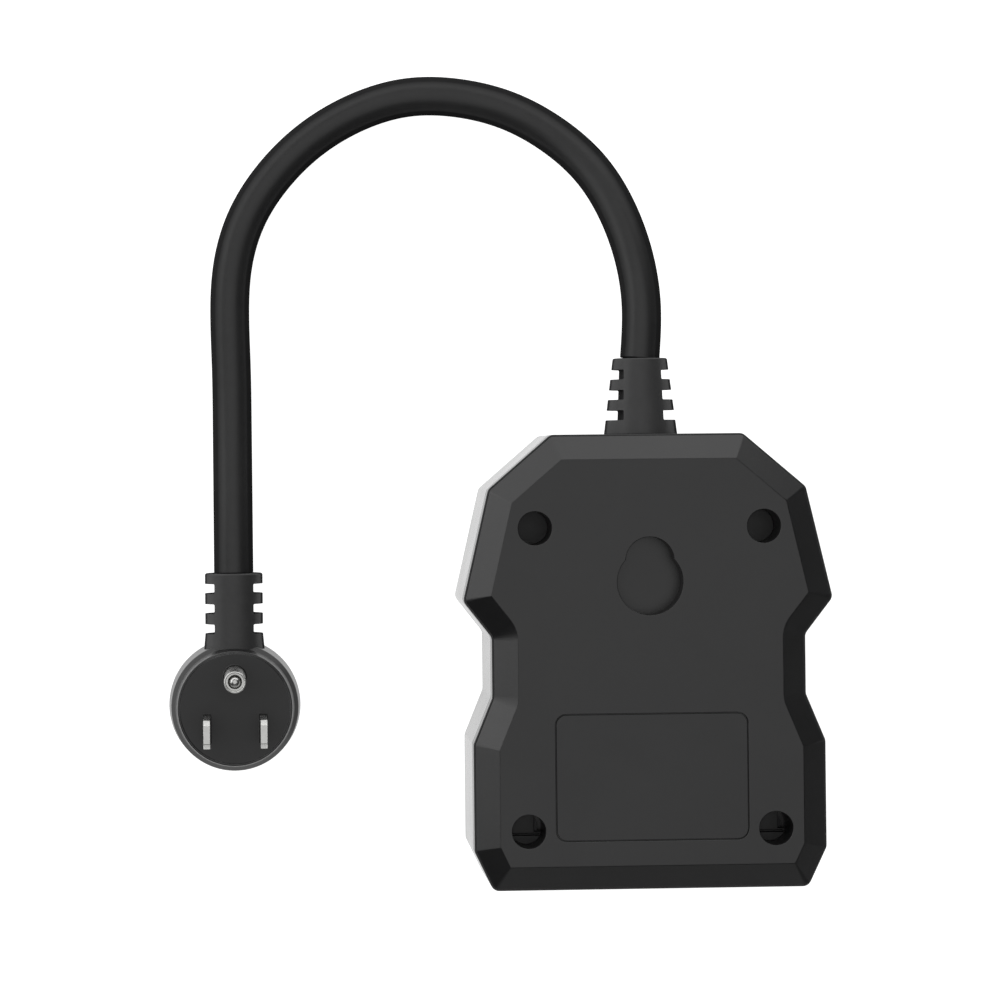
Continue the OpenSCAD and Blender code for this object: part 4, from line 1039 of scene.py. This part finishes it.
for node, width in softEdges.items():
    softenNode(node, width)
for node, piece in frame["nodes"].items():
    piece.data.materials.clear()
    piece.data.materials.append(materialOf[slotOf[node]])
print("inner pieces ready")


# The studio: a pale floor, a broad light overhead and four softboxes round the plug.
aim = (0, 0.02, 0.02)                                   # just above the middle of the housing
studio = {
    "floor": {
        "size": 4.0, "below": 0.00005, "colour": (0.5, 0.5, 0.5), "grain": 400.0, "pits": 0.1, "drift": 0.02,
        "patchSize": 3.0, "flecks": 0.01, "roughness": 0.8, "specular": 0.1, "glow": 1.0, "bounce": 0.3},
    "worldPale": 0.92, "worldDim": 0.05,
    "lights": {
        "overhead": {
            "place": (-0.1, 0.1, 1.3), "target": (-0.04, 0.02, 0), "size": (1.5, 1.5), "radiance": 1.02},
        "behind": {"place": (0.2, 1.25, 0.52), "target": aim, "size": (1.9, 0.9), "radiance": 1.85},
        "upperLeft": {"place": (-0.98, 0.84, 0.52), "target": aim, "size": (1.0, 0.9), "radiance": 1.75},
        "left": {"place": (-1.3, 0.17, 0.52), "target": aim, "size": (0.8, 0.9), "radiance": 1.65},
        "front": {"place": (0.0, -1.3, 0.52), "target": aim, "size": (1.2, 0.8), "radiance": 0.3},
    },
}


def softbox(name, look):
    width, height = look["size"]
    light = bpy.data.lights.new(name, "AREA")
    light.shape = "RECTANGLE"
    light.size, light.size_y = width, height
    light.energy = look["radiance"] * math.pi * width * height
    lamp = bpy.data.objects.new(name, light)
    lamp.location = look["place"]
    ahead = Vector(look["target"]) - Vector(look["place"])
    lamp.rotation_euler = ahead.to_track_quat("-Z", "Y").to_euler()
    lamp.visible_camera = False
    scene.collection.objects.link(lamp)


# The floor glows for the camera, less for bounced light, and is clear from below.
def makeFloor(look):
    bm = bmesh.new()
    bmesh.ops.create_grid(bm, x_segments=8, y_segments=8, size=look["size"] / 2)
    floor = makePiece("floor", bm, (0, 0, -look["below"]))
    material, tree, shader = startMaterial("paleFloor")
    surface = useGroup(tree, mouldGrain, {"Size": look["grain"], "Pits": look["pits"]})
    colour = look["colour"] + (1.0,)
    tone = useGroup(tree, colourDrift, {
        "Base": colour, "Worn And Highlight": colour, "Drift": look["drift"], "Patch Size": look["patchSize"],
        "Fleck": surface["Fleck"], "Fleck Amount": look["flecks"], "Wear And Highlight": 0.0})
    tree.links.new(tone["Color"], shader.inputs["Base Color"])
    shader.inputs["Roughness"].default_value = look["roughness"]
    shader.inputs["Specular IOR Level"].default_value = look["specular"]
    shader.inputs["Emission Color"].default_value = (1.0, 1.0, 1.0, 1.0)
    bounced = addNode(tree, "LightPath").outputs["Is Diffuse Ray"]
    glow = addNode(tree, "MapRange", {"Value": bounced, "To Min": look["glow"], "To Max": look["bounce"]})
    tree.links.new(glow.outputs[0], shader.inputs["Emission Strength"])
    clear = addNode(tree, "BsdfTransparent")
    behind = addNode(tree, "NewGeometry").outputs["Backfacing"]
    mix = addNode(tree, "MixShader", {0: behind, 1: shader.outputs[0], 2: clear.outputs[0]})
    output = next(n for n in tree.nodes if n.type == "OUTPUT_MATERIAL")
    tree.links.new(mix.outputs[0], output.inputs["Surface"])
    floor.data.materials.append(material)


# The camera sees a pale world, and everything else a dim one.
def makeWorld():
    world = bpy.data.worlds.new("studio")
    world.use_nodes = True
    tree = world.node_tree
    tree.nodes.clear()
    pale = addNode(tree, "Background", {"Color": (1, 1, 1, 1), "Strength": studio["worldPale"]})
    dim = addNode(tree, "Background", {"Color": (1, 1, 1, 1), "Strength": studio["worldDim"]})
    seen = addNode(tree, "LightPath").outputs["Is Camera Ray"]
    mix = addNode(tree, "MixShader", {0: seen, 1: dim.outputs[0], 2: pale.outputs[0]})
    output = addNode(tree, "OutputWorld")
    tree.links.new(mix.outputs[0], output.inputs["Surface"])
    scene.world = world


makeFloor(studio["floor"])
makeWorld()
for name, look in studio["lights"].items():
    softbox(name, look)
scene.view_settings.view_transform = "Standard"
print("studio ready")
